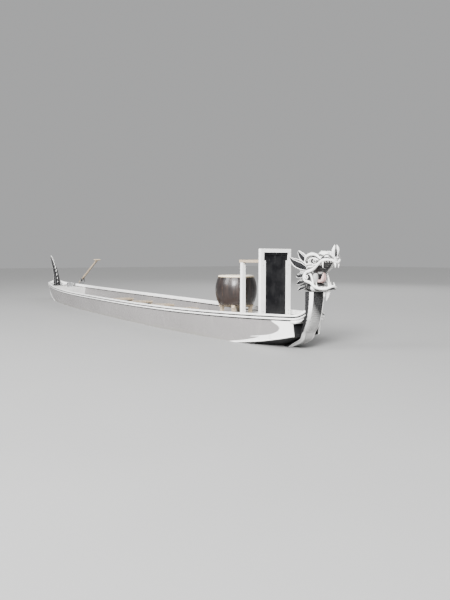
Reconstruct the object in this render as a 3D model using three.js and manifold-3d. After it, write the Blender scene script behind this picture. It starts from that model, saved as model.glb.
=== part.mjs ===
// Ten-paddle racing dragon boat: hollow hull, carved head and tail, drummer's seat, drum and steering oar.
// Millimetres. X runs forward to the head, Y to port and Z up. The origin is amidships on the waterline.

import * as THREE from "three";
import { mergeVertices } from "three/addons/utils/BufferGeometryUtils.js";
import Module from "manifold-3d";

// Hull
const HULL_HALF_LENGTH = 4200;
const STATION_STEP = 300;
const HULL_BREAK = 1500;
const HALF_BEAM = 545;
const HALF_BEAM_AT_ENDS = 200;
const PLAN_FULLNESS = 2.7;
const RAIL_TOP_AMIDSHIPS = 295;
const RAIL_TOP_RISE = 65;
const SHEER_FULLNESS = 3;
const RAIL_HIGH = 50;
const RAIL_OVERHANG = 18;
const RAIL_INSET = 6;
const CHINE_AMIDSHIPS = -80;
const CHINE_RISE = 225;
const CHINE_FULLNESS = 5;
const BOTTOM_AMIDSHIPS = -150;
const BOTTOM_RISE = 275;
const BOTTOM_FULLNESS = 8;
const SIDE_FLARE = 0.157;
const SKIN = 14;
const GAP = 0.3;

// Decks and end plates
const DECK_THICK = 16;
const DECK_LOW = 256;
const DECK_RISE = 26;
const BOW_DECK_FROM = 2700;
const STERN_DECK_FROM = 3300;
const END_PLATE_SETBACK = 8;
const BULKHEAD_THICK = 18;
const PLATE_CLEAR = 3.5;

// Rows of paddlers
const ROW_COUNT = 5;
const ROW_SPACING = 800;
const FIRST_ROW_X = 2000;
const THWART_WIDE = 225;
const THWART_THICK = 26;
const THWART_TOP = 165;
const KEELSON_HALF = 35;
const KEELSON_HIGH = 50;
const KEELSON_END = 2695;
const KEELSON_CLEAR = 0.95;
const FOOT_REST_AHEAD = 430;
const FOOT_REST_HIGH = 47;
const FOOT_REST_DEEP = 40;
const FOOT_REST_LEAN = 18;
const FOOT_REST_OVER_KEELSON = 37;

// Keel, neck and tail
const KEEL_HALF = 26;
const KEEL_DEEP = 45;
const KEEL_END = 3600;
const KEEL_STEPS = 24;
const NECK_HALF = 93;
const EYE_RADIUS = 26;
const MANE_ROOT = 4300;
const MANE_OUT = 134;
const MANE_THICK = 26;
const MANE_FLARE = 10;

// Drummer's seat and drum
const SEAT_X = 3705;
const SEAT_HALF_WIDE = 203;
const SEAT_DEEP = 330;
const SEAT_HIGH = 890;
const BACKREST_TOP = 1006;
const SEAT_POST = 42;
const SEAT_LEG_WIDE = 60;
const SEAT_STILE_WIDE = 38;
const SEAT_LEG_TOP = 883;
const SEAT_PANEL = 14;
const SEAT_BOARD = 28;
const SEAT_BOARD_AFT = 40;
const DRUM_X = 2990;
const DRUM_RADIUS = 205;
const DRUM_BULGE = 245;
const DRUM_LONG = 330;
const DRUM_STAND_TOP = 372;
const DRUM_STAND_HALF = 170;
const DRUM_LEG = 36;
const DRUM_LEG_SPREAD = 0.7;
const DRUM_BEAM_REACH = 1.2;
const DRUM_HIDE = 8;
const DRUM_HIDE_LAP = 4;

// Steering oar on the port quarter
const OARLOCK = { x: -3760, y: 440, z: 446 };
const ARM_HALF_WIDE = 42;
const ARM_THICK = 20;
const ARM_FOOT_LONG = 110;
const ARM_INBOARD = 90;
const PIN_RADIUS = 12;
const FORK_INSIDE = 40;
const FORK_WALL = 10;
const FORK_HALF_DEEP = 20;
const FORK_LIFT = 5;
const CHEEK_OVER_PIN = 24;
const SADDLE_RADIUS = 34;
const SADDLE_HALF_LONG = 32;
const TRUNNION_RADIUS = 8;
const RUNNING_FIT = 1;
const OAR_PITCH = 24;
const OAR_INBOARD = 1050;
const OAR_OUTBOARD = 1900;
const OAR_RADIUS = 23;
const BLADE_LONG = 720;
const BLADE_HALF_WIDE = 98;
const BLADE_THICK = 16;
const GRIP_HALF_LONG = 75;
const GRIP_RADIUS = 16;

const wasm = await Module();
wasm.setup();
const model = new THREE.Group();

const finishes = {
  hull: { color: 0xc9c6c3, roughness: 0.35, metalness: 0 },
  underbody: { color: 0x33373a, roughness: 0.45, metalness: 0 },
  rail: { color: 0xf2f1ee, roughness: 0.4, metalness: 0 },
  deck: { color: 0xd8d5d0, roughness: 0.55, metalness: 0 },
  wood: { color: 0xa9794a, roughness: 0.6, metalness: 0 },
  darkPanel: { color: 0x15161a, roughness: 0.4, metalness: 0 },
  carving: { color: 0xe9e7e2, roughness: 0.5, metalness: 0 },
  darkCarving: { color: 0x24262a, roughness: 0.5, metalness: 0 },
  mouth: { color: 0xb98f8c, roughness: 0.45, metalness: 0 },
  hide: { color: 0xe3d4b5, roughness: 0.7, metalness: 0 },
  drum: { color: 0x241a17, roughness: 0.4, metalness: 0 },
  steel: { color: 0xb4b7ba, roughness: 0.35, metalness: 1 },
  blade: { color: 0x1c1d20, roughness: 0.4, metalness: 0 },
};

function add(name, geometry, finish) {
  const mesh = new THREE.Mesh(geometry, new THREE.MeshStandardMaterial(finishes[finish]));
  mesh.name = name;
  model.add(mesh);
  return mesh;
}

// Hull lines: each is a polyline through the stations, so that every piece meets the same facets.
function throughStations(curve) {
  return (x) => {
    const low = Math.floor(x / STATION_STEP) * STATION_STEP;
    const share = (x - low) / STATION_STEP;
    return curve(low) * (1 - share) + curve(Math.min(low + STATION_STEP, HULL_HALF_LENGTH)) * share;
  };
}

const along = (x) => Math.abs(x) / HULL_HALF_LENGTH;
const halfBeam = throughStations(
  (x) => HALF_BEAM - (HALF_BEAM - HALF_BEAM_AT_ENDS) * along(x) ** PLAN_FULLNESS,
);
const railTop = throughStations((x) => RAIL_TOP_AMIDSHIPS + RAIL_TOP_RISE * along(x) ** SHEER_FULLNESS);
const chine = throughStations((x) => CHINE_AMIDSHIPS + CHINE_RISE * along(x) ** CHINE_FULLNESS);
const bottom = throughStations((x) => BOTTOM_AMIDSHIPS + BOTTOM_RISE * along(x) ** BOTTOM_FULLNESS);
const sideTop = (x) => railTop(x) - RAIL_HIGH;
const chineHalf = (x) => halfBeam(x) - SIDE_FLARE * (sideTop(x) - chine(x));
const sideHalf = (x, z) => halfBeam(x) - SIDE_FLARE * (sideTop(x) - z);
const insideHalf = (x, z) => sideHalf(x, z) - SKIN;
const bottomAt = (x, share) => bottom(x) + (chine(x) - bottom(x)) * share;

// Joins and cuts closed forms.
function solid(geometry) {
  const bare = geometry.clone();
  bare.deleteAttribute("normal");
  bare.deleteAttribute("uv");
  const merged = mergeVertices(bare, 1e-3);
  return new wasm.Manifold(new wasm.Mesh({
    numProp: 3,
    vertProperties: new Float32Array(merged.attributes.position.array),
    triVerts: new Uint32Array(merged.index.array),
  }));
}
function shaped(body) {
  const { vertProperties, triVerts } = body.getMesh();
  const geometry = new THREE.BufferGeometry();
  geometry.setAttribute("position", new THREE.BufferAttribute(vertProperties, 3));
  geometry.setIndex(new THREE.BufferAttribute(triVerts, 1));
  geometry.computeVertexNormals();
  return geometry;
}
const joined = (...parts) => parts.map(solid).reduce((whole, part) => whole.add(part));

// Trims a form to sit on its neighbour, which is first moved by a small gap towards it.
function seated(geometry, neighbour, gap) {
  const keepOut = neighbour.clone();
  keepOut.translate(...gap);
  const pieces = solid(geometry).subtract(solid(keepOut)).decompose();
  pieces.sort((a, b) => b.volume() - a.volume());
  return shaped(pieces[0]);
}

// Moves the points of a unit box, whose sides run from 0 to 1, to their place on the boat.
function moulded(steps, place) {
  const geometry = new THREE.BoxGeometry(1, 1, 1, ...steps);
  geometry.translate(0.5, 0.5, 0.5);
  const points = geometry.attributes.position;
  for (let i = 0; i < points.count; i += 1) {
    points.setXYZ(i, ...place(points.getX(i), points.getY(i), points.getZ(i)));
  }
  geometry.computeVertexNormals();
  return geometry;
}

// A straight-sided block between two corners.
function block(from, to) {
  const geometry = new THREE.BoxGeometry(to[0] - from[0], to[1] - from[1], to[2] - from[2]);
  geometry.translate((from[0] + to[0]) / 2, (from[1] + to[1]) / 2, (from[2] + to[2]) / 2);
  return geometry;
}

// A rod between two points, along any direction.
function rod(from, to, radius, sides = 16, endRadius = radius) {
  const start = new THREE.Vector3(...from);
  const reach = new THREE.Vector3(...to).sub(start);
  const geometry = new THREE.CylinderGeometry(endRadius, radius, reach.length(), sides);
  geometry.translate(0, reach.length() / 2, 0);
  const up = new THREE.Vector3(0, 1, 0);
  geometry.applyQuaternion(new THREE.Quaternion().setFromUnitVectors(up, reach.normalize()));
  geometry.translate(...from);
  return geometry;
}

// A carved form: rounded sections stand across a line of centres in the XZ plane, leaning with it or upright.
// Each row gives the centre x and z, the half width across the boat and the half depth.
function carved(rows, { sides = 16, square = 2.6, y = 0, splay = 0, upright = false } = {}) {
  const geometry = new THREE.CylinderGeometry(1, 1, 1, sides, rows.length - 1);
  const points = geometry.attributes.position;
  for (let i = 0; i < points.count; i += 1) {
    const at = Math.round((points.getY(i) + 0.5) * (rows.length - 1));
    const row = rows[at];
    const before = rows[Math.max(at - 1, 0)];
    const after = rows[Math.min(at + 1, rows.length - 1)];
    const lean = upright ? 0 : Math.atan2(after.z - before.z, after.x - before.x);
    const turn = Math.atan2(points.getZ(i), points.getX(i));
    const spread = Math.min(1, Math.hypot(points.getX(i), points.getZ(i)));
    const corner = Math.abs(Math.cos(turn)) ** square + Math.abs(Math.sin(turn)) ** square;
    const reach = spread / corner ** (1 / square);
    const across = reach * Math.cos(turn) * row.wide;
    const up = reach * Math.sin(turn) * row.deep;
    const out = y + across + splay * (at / (rows.length - 1)) ** 1.3;
    points.setXYZ(i, row.x - up * Math.sin(lean), out, row.z + up * Math.cos(lean));
  }
  return outward(geometry);
}

// Turns a closed form's faces outward, whichever way its points were placed.
function outward(geometry) {
  const points = geometry.attributes.position;
  const index = geometry.index;
  const corners = [new THREE.Vector3(), new THREE.Vector3(), new THREE.Vector3()];
  let volume = 0;
  for (let i = 0; i < index.count; i += 3) {
    corners.forEach((corner, k) => corner.fromBufferAttribute(points, index.getX(i + k)));
    volume += corners[0].dot(corners[1].clone().cross(corners[2]));
  }
  if (volume < 0) {
    for (let i = 0; i < index.count; i += 3) {
      const kept = index.getX(i);
      index.setX(i, index.getX(i + 1));
      index.setX(i + 1, kept);
    }
  }
  geometry.computeVertexNormals();
  return geometry;
}

// Mirrors a closed form to the other side of the boat.
function mirrored(geometry) {
  const copy = mergeVertices(geometry);
  copy.scale(1, -1, 1);
  return outward(copy);
}

// Seats a form on its neighbour's port side, and its mirror image on the other side.
function addSeatedPair(name, geometry, neighbour, finish) {
  add(`${name}_port`, seated(geometry, neighbour, [0, GAP, 0]), finish);
  add(`${name}_starboard`, seated(mirrored(geometry), neighbour, [0, -GAP, 0]), finish);
}

// Hull bottom and sides, each in three lengths
const hullSpans = [
  { part: "bow", from: HULL_BREAK, to: HULL_HALF_LENGTH },
  { part: "middle", from: -HULL_BREAK, to: HULL_BREAK },
  { part: "stern", from: -HULL_HALF_LENGTH, to: -HULL_BREAK },
];
for (const { part, from, to } of hullSpans) {
  const steps = (to - from) / STATION_STEP;
  const alongSpan = (u) => from + GAP / 2 + u * (to - from - GAP);
  add(`hull_bottom_${part}`, outward(moulded([steps, 2, 1], (u, v, w) => {
    const x = alongSpan(u);
    const across = v * 2 - 1;
    return [x, across * chineHalf(x), bottomAt(x, Math.abs(across)) + w * SKIN];
  })), "underbody");
  const side = outward(moulded([steps, 1, 2], (u, v, w) => {
    const x = alongSpan(u);
    const low = chine(x) + SKIN + GAP;
    const z = low + w * (sideTop(x) - low);
    return [x, sideHalf(x, z) - v * SKIN, z];
  }));
  add(`hull_side_port_${part}`, side, "hull");
  add(`hull_side_starboard_${part}`, mirrored(side), "hull");
}

// Gunwale rails, which turn in at each end and rise to the neck and the tail
const railEnds = [
  { past: 45, half: 178, rise: 5 },
  { past: 62, half: 135, rise: 20 },
  { past: 66, half: 84, rise: 44 },
];
const railLine = [];
for (let x = -HULL_HALF_LENGTH; x <= HULL_HALF_LENGTH; x += STATION_STEP) {
  railLine.push({ x, half: halfBeam(x), top: railTop(x) });
}
for (const end of railEnds) {
  const top = railTop(HULL_HALF_LENGTH) + end.rise;
  railLine.push({ x: HULL_HALF_LENGTH + end.past, half: end.half, top });
  railLine.unshift({ x: -HULL_HALF_LENGTH - end.past, half: end.half, top });
}
railLine.forEach((row, i) => {
  const before = railLine[Math.max(i - 1, 0)];
  const after = railLine[Math.min(i + 1, railLine.length - 1)];
  row.heading = Math.atan2(after.half - before.half, after.x - before.x);
});

// Decks: each is one plane, which rises a little towards its end of the boat
const DECK_SLOPE = DECK_RISE / (HULL_HALF_LENGTH - BOW_DECK_FROM);
const deckTop = (x) => DECK_LOW + DECK_SLOPE * (Math.abs(x) - BOW_DECK_FROM);
const highestDeck = (from, to) => Math.max(deckTop(from), deckTop(to)) + GAP;
const plateOut = HULL_HALF_LENGTH - END_PLATE_SETBACK;
function deck(inner, sign) {
  const rows = [inner];
  for (let x = Math.ceil((inner + 1) / STATION_STEP) * STATION_STEP; x < plateOut; x += STATION_STEP) {
    rows.push(x);
  }
  rows.push(plateOut);
  return outward(moulded([rows.length - 1, 2, 1], (u, v, w) => {
    const x = sign * rows[Math.round(u * (rows.length - 1))];
    const z = deckTop(x) - DECK_THICK * (1 - w);
    return [x, (v * 2 - 1) * (insideHalf(x, z) - GAP), z];
  }));
}
add("bow_deck", deck(BOW_DECK_FROM, 1), "deck");
add("stern_deck", deck(STERN_DECK_FROM, -1), "deck");

// End plates and bulkheads close the two ends under the decks
function crossPlate(from, to) {
  return outward(moulded([1, 2, 1], (u, v, w) => {
    const x = from + u * (to - from);
    const across = v * 2 - 1;
    const lowHalf = chineHalf(x) - SKIN - PLATE_CLEAR;
    const low = bottomAt(x, Math.abs(across) * lowHalf / chineHalf(x)) + SKIN + PLATE_CLEAR;
    const high = deckTop(x) - DECK_THICK - GAP;
    const half = lowHalf + w * (insideHalf(x, high) - GAP - lowHalf);
    return [x, across * half, low + w * (high - low)];
  }));
}
add("bow_end_plate", crossPlate(plateOut - SKIN, plateOut), "underbody");
add("stern_end_plate", crossPlate(-plateOut, SKIN - plateOut), "underbody");
add("bow_bulkhead", crossPlate(BOW_DECK_FROM, BOW_DECK_FROM + BULKHEAD_THICK), "deck");
add("stern_bulkhead", crossPlate(-STERN_DECK_FROM - BULKHEAD_THICK, -STERN_DECK_FROM), "deck");

// Keelson along the inside of the bottom, with the thwarts and the foot rests over it
const footRestFoot = bottom(0) + SKIN + KEELSON_HIGH + FOOT_REST_OVER_KEELSON;
const keelsonStations = Math.ceil(KEELSON_END / STATION_STEP);
add("keelson", outward(moulded([2 * keelsonStations, 2, 1], (u, v, w) => {
  const station = Math.round((u * 2 - 1) * keelsonStations) * STATION_STEP;
  const x = THREE.MathUtils.clamp(station, -KEELSON_END, KEELSON_END);
  const across = v * 2 - 1;
  const rest = bottomAt(x, Math.abs(across) * KEELSON_HALF / chineHalf(x)) + SKIN + KEELSON_CLEAR;
  return [x, across * KEELSON_HALF, rest + w * KEELSON_HIGH];
})), "wood");

for (let row = 0; row < ROW_COUNT; row += 1) {
  const x = FIRST_ROW_X - row * ROW_SPACING;
  const under = THWART_TOP - THWART_THICK;
  add(`thwart_${row + 1}`, outward(moulded([2, 1, 1], (u, v, w) => {
    const at = x + (u - 0.5) * THWART_WIDE;
    const z = under + w * THWART_THICK;
    return [at, (v * 2 - 1) * (insideHalf(at, z) - GAP), z];
  })), "wood");
  const restX = x + FOOT_REST_AHEAD;
  add(`foot_rest_${row + 1}`, outward(moulded([1, 1, 1], (u, v, w) => {
    const at = restX + (u - 0.5) * FOOT_REST_DEEP + w * FOOT_REST_LEAN;
    const z = footRestFoot + w * FOOT_REST_HIGH;
    return [at, (v * 2 - 1) * (insideHalf(at, z) - GAP), z];
  })), "wood");
}

// Keel strip along the outside of the bottom
add("keel_strip", outward(moulded([KEEL_STEPS, 1, 1], (u, v, w) => {
  const x = (u * 2 - 1) * KEEL_END;
  return [x, (v * 2 - 1) * KEEL_HALF, bottom(x) - GAP - KEEL_DEEP * (1 - w)];
})), "underbody");

// Neck: the stem sweeps up from the keel into a broad neck. Each row has its back edge, its front edge, both
// as x and z, and its half width.
const keelTop = bottom(KEEL_END) - GAP;
const keelFoot = bottom(KEEL_END) - KEEL_DEEP;
const neckRows = [
  { back: [KEEL_END + GAP, keelTop], front: [KEEL_END + GAP, keelFoot], half: KEEL_HALF },
  { back: [3900, bottom(3900) - 0.5], front: [3872, -62], half: 42 },
  { back: [4060, bottom(4060) - 0.5], front: [4064, 24], half: 62 },
  { back: [4200.5, bottom(4200) - 0.5], front: [4215, 96], half: 81 },
  { back: [4200.5, 168], front: [4262, 184], half: 88 },
  { back: [4216, 214], front: [4298, 240], half: 91 },
  { back: [4246, 280], front: [4322, 302], half: NECK_HALF },
  { back: [4262, 360], front: [4342, 390], half: NECK_HALF },
  { back: [4268, 460], front: [4356, 480], half: NECK_HALF },
  { back: [4266, 577.6], front: [4362, 577.6], half: NECK_HALF },
];
function swept(rows) {
  return outward(moulded([rows.length - 1, 2, 1], (u, v, w) => {
    const row = rows[Math.round(u * (rows.length - 1))];
    const across = v * 2 - 1;
    const x = row.back[0] + w * (row.front[0] - row.back[0]);
    const z = row.back[1] + w * (row.front[1] - row.back[1]);
    return [x, across * row.half, z];
  }));
}
const neckForm = swept(neckRows);
add("neck", neckForm, "carving");

// Dragon's head: upper head, lower jaw, tongue, eyes, nose horn, mane and beard
function centred(rows) {
  return rows.map(({ x, low, high, wide }) => ({ x, z: (low + high) / 2, wide, deep: (high - low) / 2 }));
}
const skull = carved(centred([
  { x: 4150, low: 664, high: 820, wide: 60 },
  { x: 4180, low: 604, high: 882, wide: 92 },
  { x: 4240, low: 578, high: 930, wide: 116 },
  { x: 4312, low: 578, high: 957, wide: 124 },
  { x: 4322, low: 690, high: 960, wide: 125 },
  { x: 4370, low: 765, high: 966, wide: 122 },
  { x: 4420, low: 812, high: 966, wide: 110 },
  { x: 4470, low: 858, high: 972, wide: 94 },
  { x: 4515, low: 880, high: 956, wide: 90 },
  { x: 4550, low: 880, high: 932, wide: 86 },
  { x: 4582, low: 866, high: 908, wide: 70 },
  { x: 4600, low: 852, high: 890, wide: 48 },
  { x: 4612, low: 850, high: 872, wide: 24 },
]), { sides: 20, upright: true });

// Both sides of the skull carry a brow, a nostril, a scroll at the mouth's corner and a front fang
function ball([x, y, z], [long, wide, high]) {
  const geometry = new THREE.SphereGeometry(1, 12, 8);
  geometry.scale(long, wide, high);
  geometry.translate(x, y, z);
  return geometry;
}
function fang([x, y, z], height, radius) {
  return rod([x, y, z - Math.sign(height) * 14], [x, y, z + height], radius, 8, radius * 0.15);
}
const skullCarving = [1, -1].flatMap((side) => [
  ball([4388, side * 102, 948], [74, 36, 34]),
  ball([4542, side * 56, 920], [40, 28, 22]),
  ball([4334, side * 106, 738], [38, 26, 38]),
  fang([4582, side * 42, 862], -40, 11),
  fang([4484, side * 78, 872], -34, 10),
]);
const headForm = joined(skull, ...skullCarving);
const headGeometry = shaped(headForm);
add("upper_head", headGeometry, "carving");

const jaw = carved(centred([
  { x: 4309, low: 578, high: 678, wide: 100 },
  { x: 4360, low: 580, high: 664, wide: 98 },
  { x: 4424, low: 588, high: 640, wide: 92 },
  { x: 4490, low: 594, high: 632, wide: 80 },
  { x: 4536, low: 600, high: 644, wide: 60 },
  { x: 4556, low: 624, high: 664, wide: 38 },
  { x: 4564, low: 640, high: 668, wide: 18 },
]), { sides: 16, upright: true });
const jawFangs = [1, -1].flatMap((side) => [
  fang([4524, side * 46, 630], 56, 11),
  fang([4452, side * 74, 624], 34, 9),
]);
const jawForm = seated(shaped(joined(jaw, ...jawFangs)), headGeometry, [GAP, 0, -GAP]);
add("lower_jaw", jawForm, "carving");
add("tongue", seated(carved([
  { x: 4306, z: 712, wide: 42, deep: 26 },
  { x: 4350, z: 696, wide: 44, deep: 22 },
  { x: 4396, z: 684, wide: 42, deep: 17 },
  { x: 4432, z: 696, wide: 38, deep: 13 },
  { x: 4446, z: 732, wide: 30, deep: 10 },
  { x: 4442, z: 776, wide: 13, deep: 6 },
], { sides: 12, square: 2 }), headGeometry, [GAP, 0, 0]), "mouth");

const eye = new THREE.SphereGeometry(EYE_RADIUS, 16, 10);
eye.translate(4443, 98, 890);
addSeatedPair("eye", eye, headGeometry, "darkCarving");

// The nose horn forks into two prongs over one root
function prong(side) {
  return carved([
    { x: 4564, z: 922, wide: 14, deep: 15 },
    { x: 4570, z: 964, wide: 12.5, deep: 13 },
    { x: 4581, z: 1000, wide: 9.5, deep: 9 },
    { x: 4598, z: 1028, wide: 4, deep: 3 },
  ], { sides: 10, square: 2, y: side * 14, splay: side * 11 });
}
const hornRoot = carved([
  { x: 4556, z: 896, wide: 32, deep: 19 },
  { x: 4564, z: 945, wide: 28, deep: 17 },
], { sides: 12, square: 3 });
const noseHorn = shaped(joined(hornRoot, prong(1), prong(-1)));
add("nose_horn", seated(noseHorn, headGeometry, [0, 0, GAP]), "carving");

// Each side of the mane is one plate cut into locks that sweep back from the cheek: two long, three short
const maneLocks = [
  { tip: [4236, 982], notch: [4206, 905] },
  { tip: [4116, 918], notch: [4186, 792] },
  { tip: [4178, 744], notch: [4214, 708] },
  { tip: [4192, 664], notch: [4222, 636] },
  { tip: [4218, 592], notch: [4290, 620] },
];
const mane = new THREE.Shape();
mane.moveTo(MANE_ROOT, 912);
maneLocks.forEach(({ tip, notch }, i) => {
  const start = i ? maneLocks[i - 1].notch : [MANE_ROOT, 912];
  mane.quadraticCurveTo((start[0] + tip[0]) / 2, Math.max(start[1], tip[1]) - 18, ...tip);
  mane.quadraticCurveTo((tip[0] + notch[0]) / 2, notch[1] - 6, ...notch);
});
mane.lineTo(MANE_ROOT, 700);
mane.closePath();
const maneCut = { depth: MANE_THICK, bevelEnabled: false, curveSegments: 3 };
const manePlate = new THREE.ExtrudeGeometry(mane, maneCut);
manePlate.rotateX(Math.PI / 2);
manePlate.translate(-MANE_ROOT, 0, 0);
manePlate.rotateZ(THREE.MathUtils.degToRad(-MANE_FLARE));
manePlate.translate(MANE_ROOT, MANE_OUT, 0);
addSeatedPair("mane", manePlate, headGeometry, "darkCarving");

add("beard", seated(carved([
  { x: 4484, z: 616, wide: 34, deep: 28 },
  { x: 4483, z: 586, wide: 32, deep: 26 },
  { x: 4480, z: 552, wide: 26, deep: 20 },
  { x: 4474, z: 524, wide: 15, deep: 12 },
  { x: 4464, z: 498, wide: 4, deep: 3 },
], { sides: 10, square: 2 }), jawForm, [0, 0, -GAP]), "carving");

// Tail: the stern post sweeps up and curls aft, with a fin on its back
const tailRows = [
  { back: [-KEEL_END - GAP, keelTop], front: [-KEEL_END - GAP, keelFoot], half: KEEL_HALF },
  { back: [-3900, bottom(3900) - 0.5], front: [-3925, -66], half: 30 },
  { back: [-4060, bottom(4060) - 0.5], front: [-4105, 0], half: 40 },
  { back: [-4200.5, bottom(4200) - 0.5], front: [-4212, 92], half: 52 },
  { back: [-4200.5, 150], front: [-4268, 185], half: 60 },
  { back: [-4200.5, 240], front: [-4304, 265], half: 62 },
  { back: [-4212, 350], front: [-4318, 362], half: 60 },
  { back: [-4234, 460], front: [-4334, 450], half: 54 },
  { back: [-4290, 580], front: [-4376, 546], half: 46 },
  { back: [-4372, 690], front: [-4440, 640], half: 38 },
  { back: [-4460, 790], front: [-4520, 738], half: 30 },
  { back: [-4546, 872], front: [-4594, 830], half: 22 },
  { back: [-4632, 930], front: [-4658, 898], half: 14 },
  { back: [-4730, 968], front: [-4738, 954], half: 5 },
];
const tailForm = swept(tailRows);
add("tail", tailForm, "carving");

// The rails come in the hull's three lengths and are trimmed where they meet the neck and the tail
for (const { part, from, to } of hullSpans) {
  const first = part === "stern" ? 0 : railLine.findIndex((row) => row.x === from);
  const last = part === "bow" ? railLine.length - 1 : railLine.findIndex((row) => row.x === to);
  const railForm = outward(moulded([last - first, 1, 1], (u, v, w) => {
    const row = railLine[first + Math.round(u * (last - first))];
    const out = -SKIN - RAIL_INSET + v * (SKIN + RAIL_INSET + RAIL_OVERHANG);
    const x = row.x + (GAP / 2) * (1 - 2 * u) - out * Math.sin(row.heading);
    return [x, row.half + out * Math.cos(row.heading), row.top - RAIL_HIGH * (1 - w) + GAP];
  }));
  const ends = { bow: [neckForm, [-GAP, GAP, 0]], stern: [tailForm, [GAP, GAP, 0]] };
  const rail = part in ends ? seated(railForm, ...ends[part]) : railForm;
  add(`gunwale_rail_port_${part}`, rail, "rail");
  add(`gunwale_rail_starboard_${part}`, mirrored(rail), "rail");
}

// Drummer's seat: a square frame on the bow deck with a dark panel facing forward.
// The front legs are wide up to the seat, and the backrest's stiles over them are narrower.
const seatAft = SEAT_X - SEAT_DEEP;
const postHalf = SEAT_POST / 2;
const seatFoot = highestDeck(SEAT_X - postHalf, SEAT_X + postHalf);
for (const [side, sign] of [["port", 1], ["starboard", -1]]) {
  const upright = (x, wide, low, high) => {
    const y = sign * (SEAT_HALF_WIDE - wide / 2);
    return block([x - postHalf, y - wide / 2, low], [x + postHalf, y + wide / 2, high]);
  };
  const leg = upright(SEAT_X, SEAT_LEG_WIDE, seatFoot, SEAT_LEG_TOP);
  const stile = upright(SEAT_X, SEAT_STILE_WIDE, seatFoot, BACKREST_TOP - SEAT_STILE_WIDE - GAP);
  const rearFoot = highestDeck(seatAft - postHalf, seatAft + postHalf);
  add(`seat_post_front_${side}`, shaped(joined(leg, stile)), "rail");
  add(`seat_post_rear_${side}`, upright(seatAft, SEAT_POST, rearFoot, SEAT_HIGH - SEAT_BOARD - GAP), "rail");
}
add("seat_back_rail", block(
  [SEAT_X - postHalf, -SEAT_HALF_WIDE, BACKREST_TOP - SEAT_STILE_WIDE],
  [SEAT_X + postHalf, SEAT_HALF_WIDE, BACKREST_TOP],
), "rail");
function panelPart(postWide, low, high) {
  const half = SEAT_HALF_WIDE - postWide - GAP;
  return block([SEAT_X - SEAT_PANEL / 2, -half, low], [SEAT_X + SEAT_PANEL / 2, half, high]);
}
const panelTop = BACKREST_TOP - SEAT_STILE_WIDE - GAP;
add("seat_panel", shaped(joined(
  panelPart(SEAT_LEG_WIDE, seatFoot, panelTop),
  panelPart(SEAT_STILE_WIDE, SEAT_LEG_TOP + GAP, panelTop),
)), "darkPanel");
add("seat_board", block(
  [seatAft - SEAT_BOARD_AFT, -SEAT_HALF_WIDE, SEAT_HIGH - SEAT_BOARD],
  [SEAT_X - postHalf - GAP, SEAT_HALF_WIDE, SEAT_HIGH],
), "wood");

// Drum on its cross stand in front of the drummer
const drumAxis = DRUM_STAND_TOP + DRUM_LONG / 2 + GAP;
const drumProfile = [
  [0, -DRUM_LONG / 2], [DRUM_RADIUS, -DRUM_LONG / 2], [DRUM_BULGE - 12, -DRUM_LONG / 4], [DRUM_BULGE, 0],
  [DRUM_BULGE - 12, DRUM_LONG / 4], [DRUM_RADIUS, DRUM_LONG / 2], [0, DRUM_LONG / 2],
].map(([r, z]) => new THREE.Vector2(r, z));
const drumShell = new THREE.LatheGeometry(drumProfile, 28);
drumShell.rotateX(Math.PI / 2);
drumShell.translate(DRUM_X, 0, drumAxis);
add("drum_shell", outward(drumShell), "drum");
const hideRadius = DRUM_RADIUS + DRUM_HIDE_LAP;
const drumHead = new THREE.CylinderGeometry(hideRadius, hideRadius, DRUM_HIDE, 28);
drumHead.rotateX(Math.PI / 2);
drumHead.translate(DRUM_X, 0, drumAxis + DRUM_LONG / 2 + DRUM_HIDE / 2 + GAP);
add("drum_head", drumHead, "hide");

const legs = [[1, 1], [1, -1], [-1, 1], [-1, -1]].map(([fore, port]) => {
  const x = DRUM_X + fore * DRUM_STAND_HALF * DRUM_LEG_SPREAD;
  const y = port * DRUM_STAND_HALF * DRUM_LEG_SPREAD;
  const half = DRUM_LEG / 2;
  const foot = highestDeck(x - half, x + half);
  return block([x - half, y - half, foot], [x + half, y + half, DRUM_STAND_TOP - half]);
});
const cross = [45, -45].map((turn) => {
  const beam = new THREE.BoxGeometry(2 * DRUM_STAND_HALF * DRUM_BEAM_REACH, DRUM_LEG, DRUM_LEG);
  beam.rotateZ(THREE.MathUtils.degToRad(turn));
  beam.translate(DRUM_X, 0, DRUM_STAND_TOP - DRUM_LEG / 2);
  return beam;
});
add("drum_stand", shaped(joined(...legs, ...cross)), "wood");

// Steering arm on the port quarter: its foot stands on the stern deck and its plate reaches out over the rail
const armBottom = railTop(OARLOCK.x - ARM_HALF_WIDE) + 2 * GAP;
const armTop = armBottom + ARM_THICK;
const plate = new THREE.Shape();
plate.moveTo(-ARM_HALF_WIDE, ARM_INBOARD);
plate.lineTo(ARM_HALF_WIDE, ARM_INBOARD);
plate.lineTo(ARM_HALF_WIDE, OARLOCK.y);
plate.absarc(0, OARLOCK.y, ARM_HALF_WIDE, 0, Math.PI);
plate.closePath();
const pinHole = new THREE.Path();
pinHole.absarc(0, OARLOCK.y, PIN_RADIUS + RUNNING_FIT, 0, 2 * Math.PI);
plate.holes.push(pinHole);
const armCut = { depth: ARM_THICK, bevelEnabled: false, curveSegments: 8 };
const armPlate = new THREE.ExtrudeGeometry(plate, armCut);
armPlate.translate(OARLOCK.x, 0, armBottom);
const armFoot = block(
  [OARLOCK.x - ARM_HALF_WIDE, ARM_INBOARD, highestDeck(OARLOCK.x - ARM_HALF_WIDE, OARLOCK.x)],
  [OARLOCK.x + ARM_HALF_WIDE, ARM_INBOARD + ARM_FOOT_LONG, armBottom + ARM_THICK / 2],
);
add("steering_arm", shaped(joined(armPlate, armFoot)), "steel");

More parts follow.
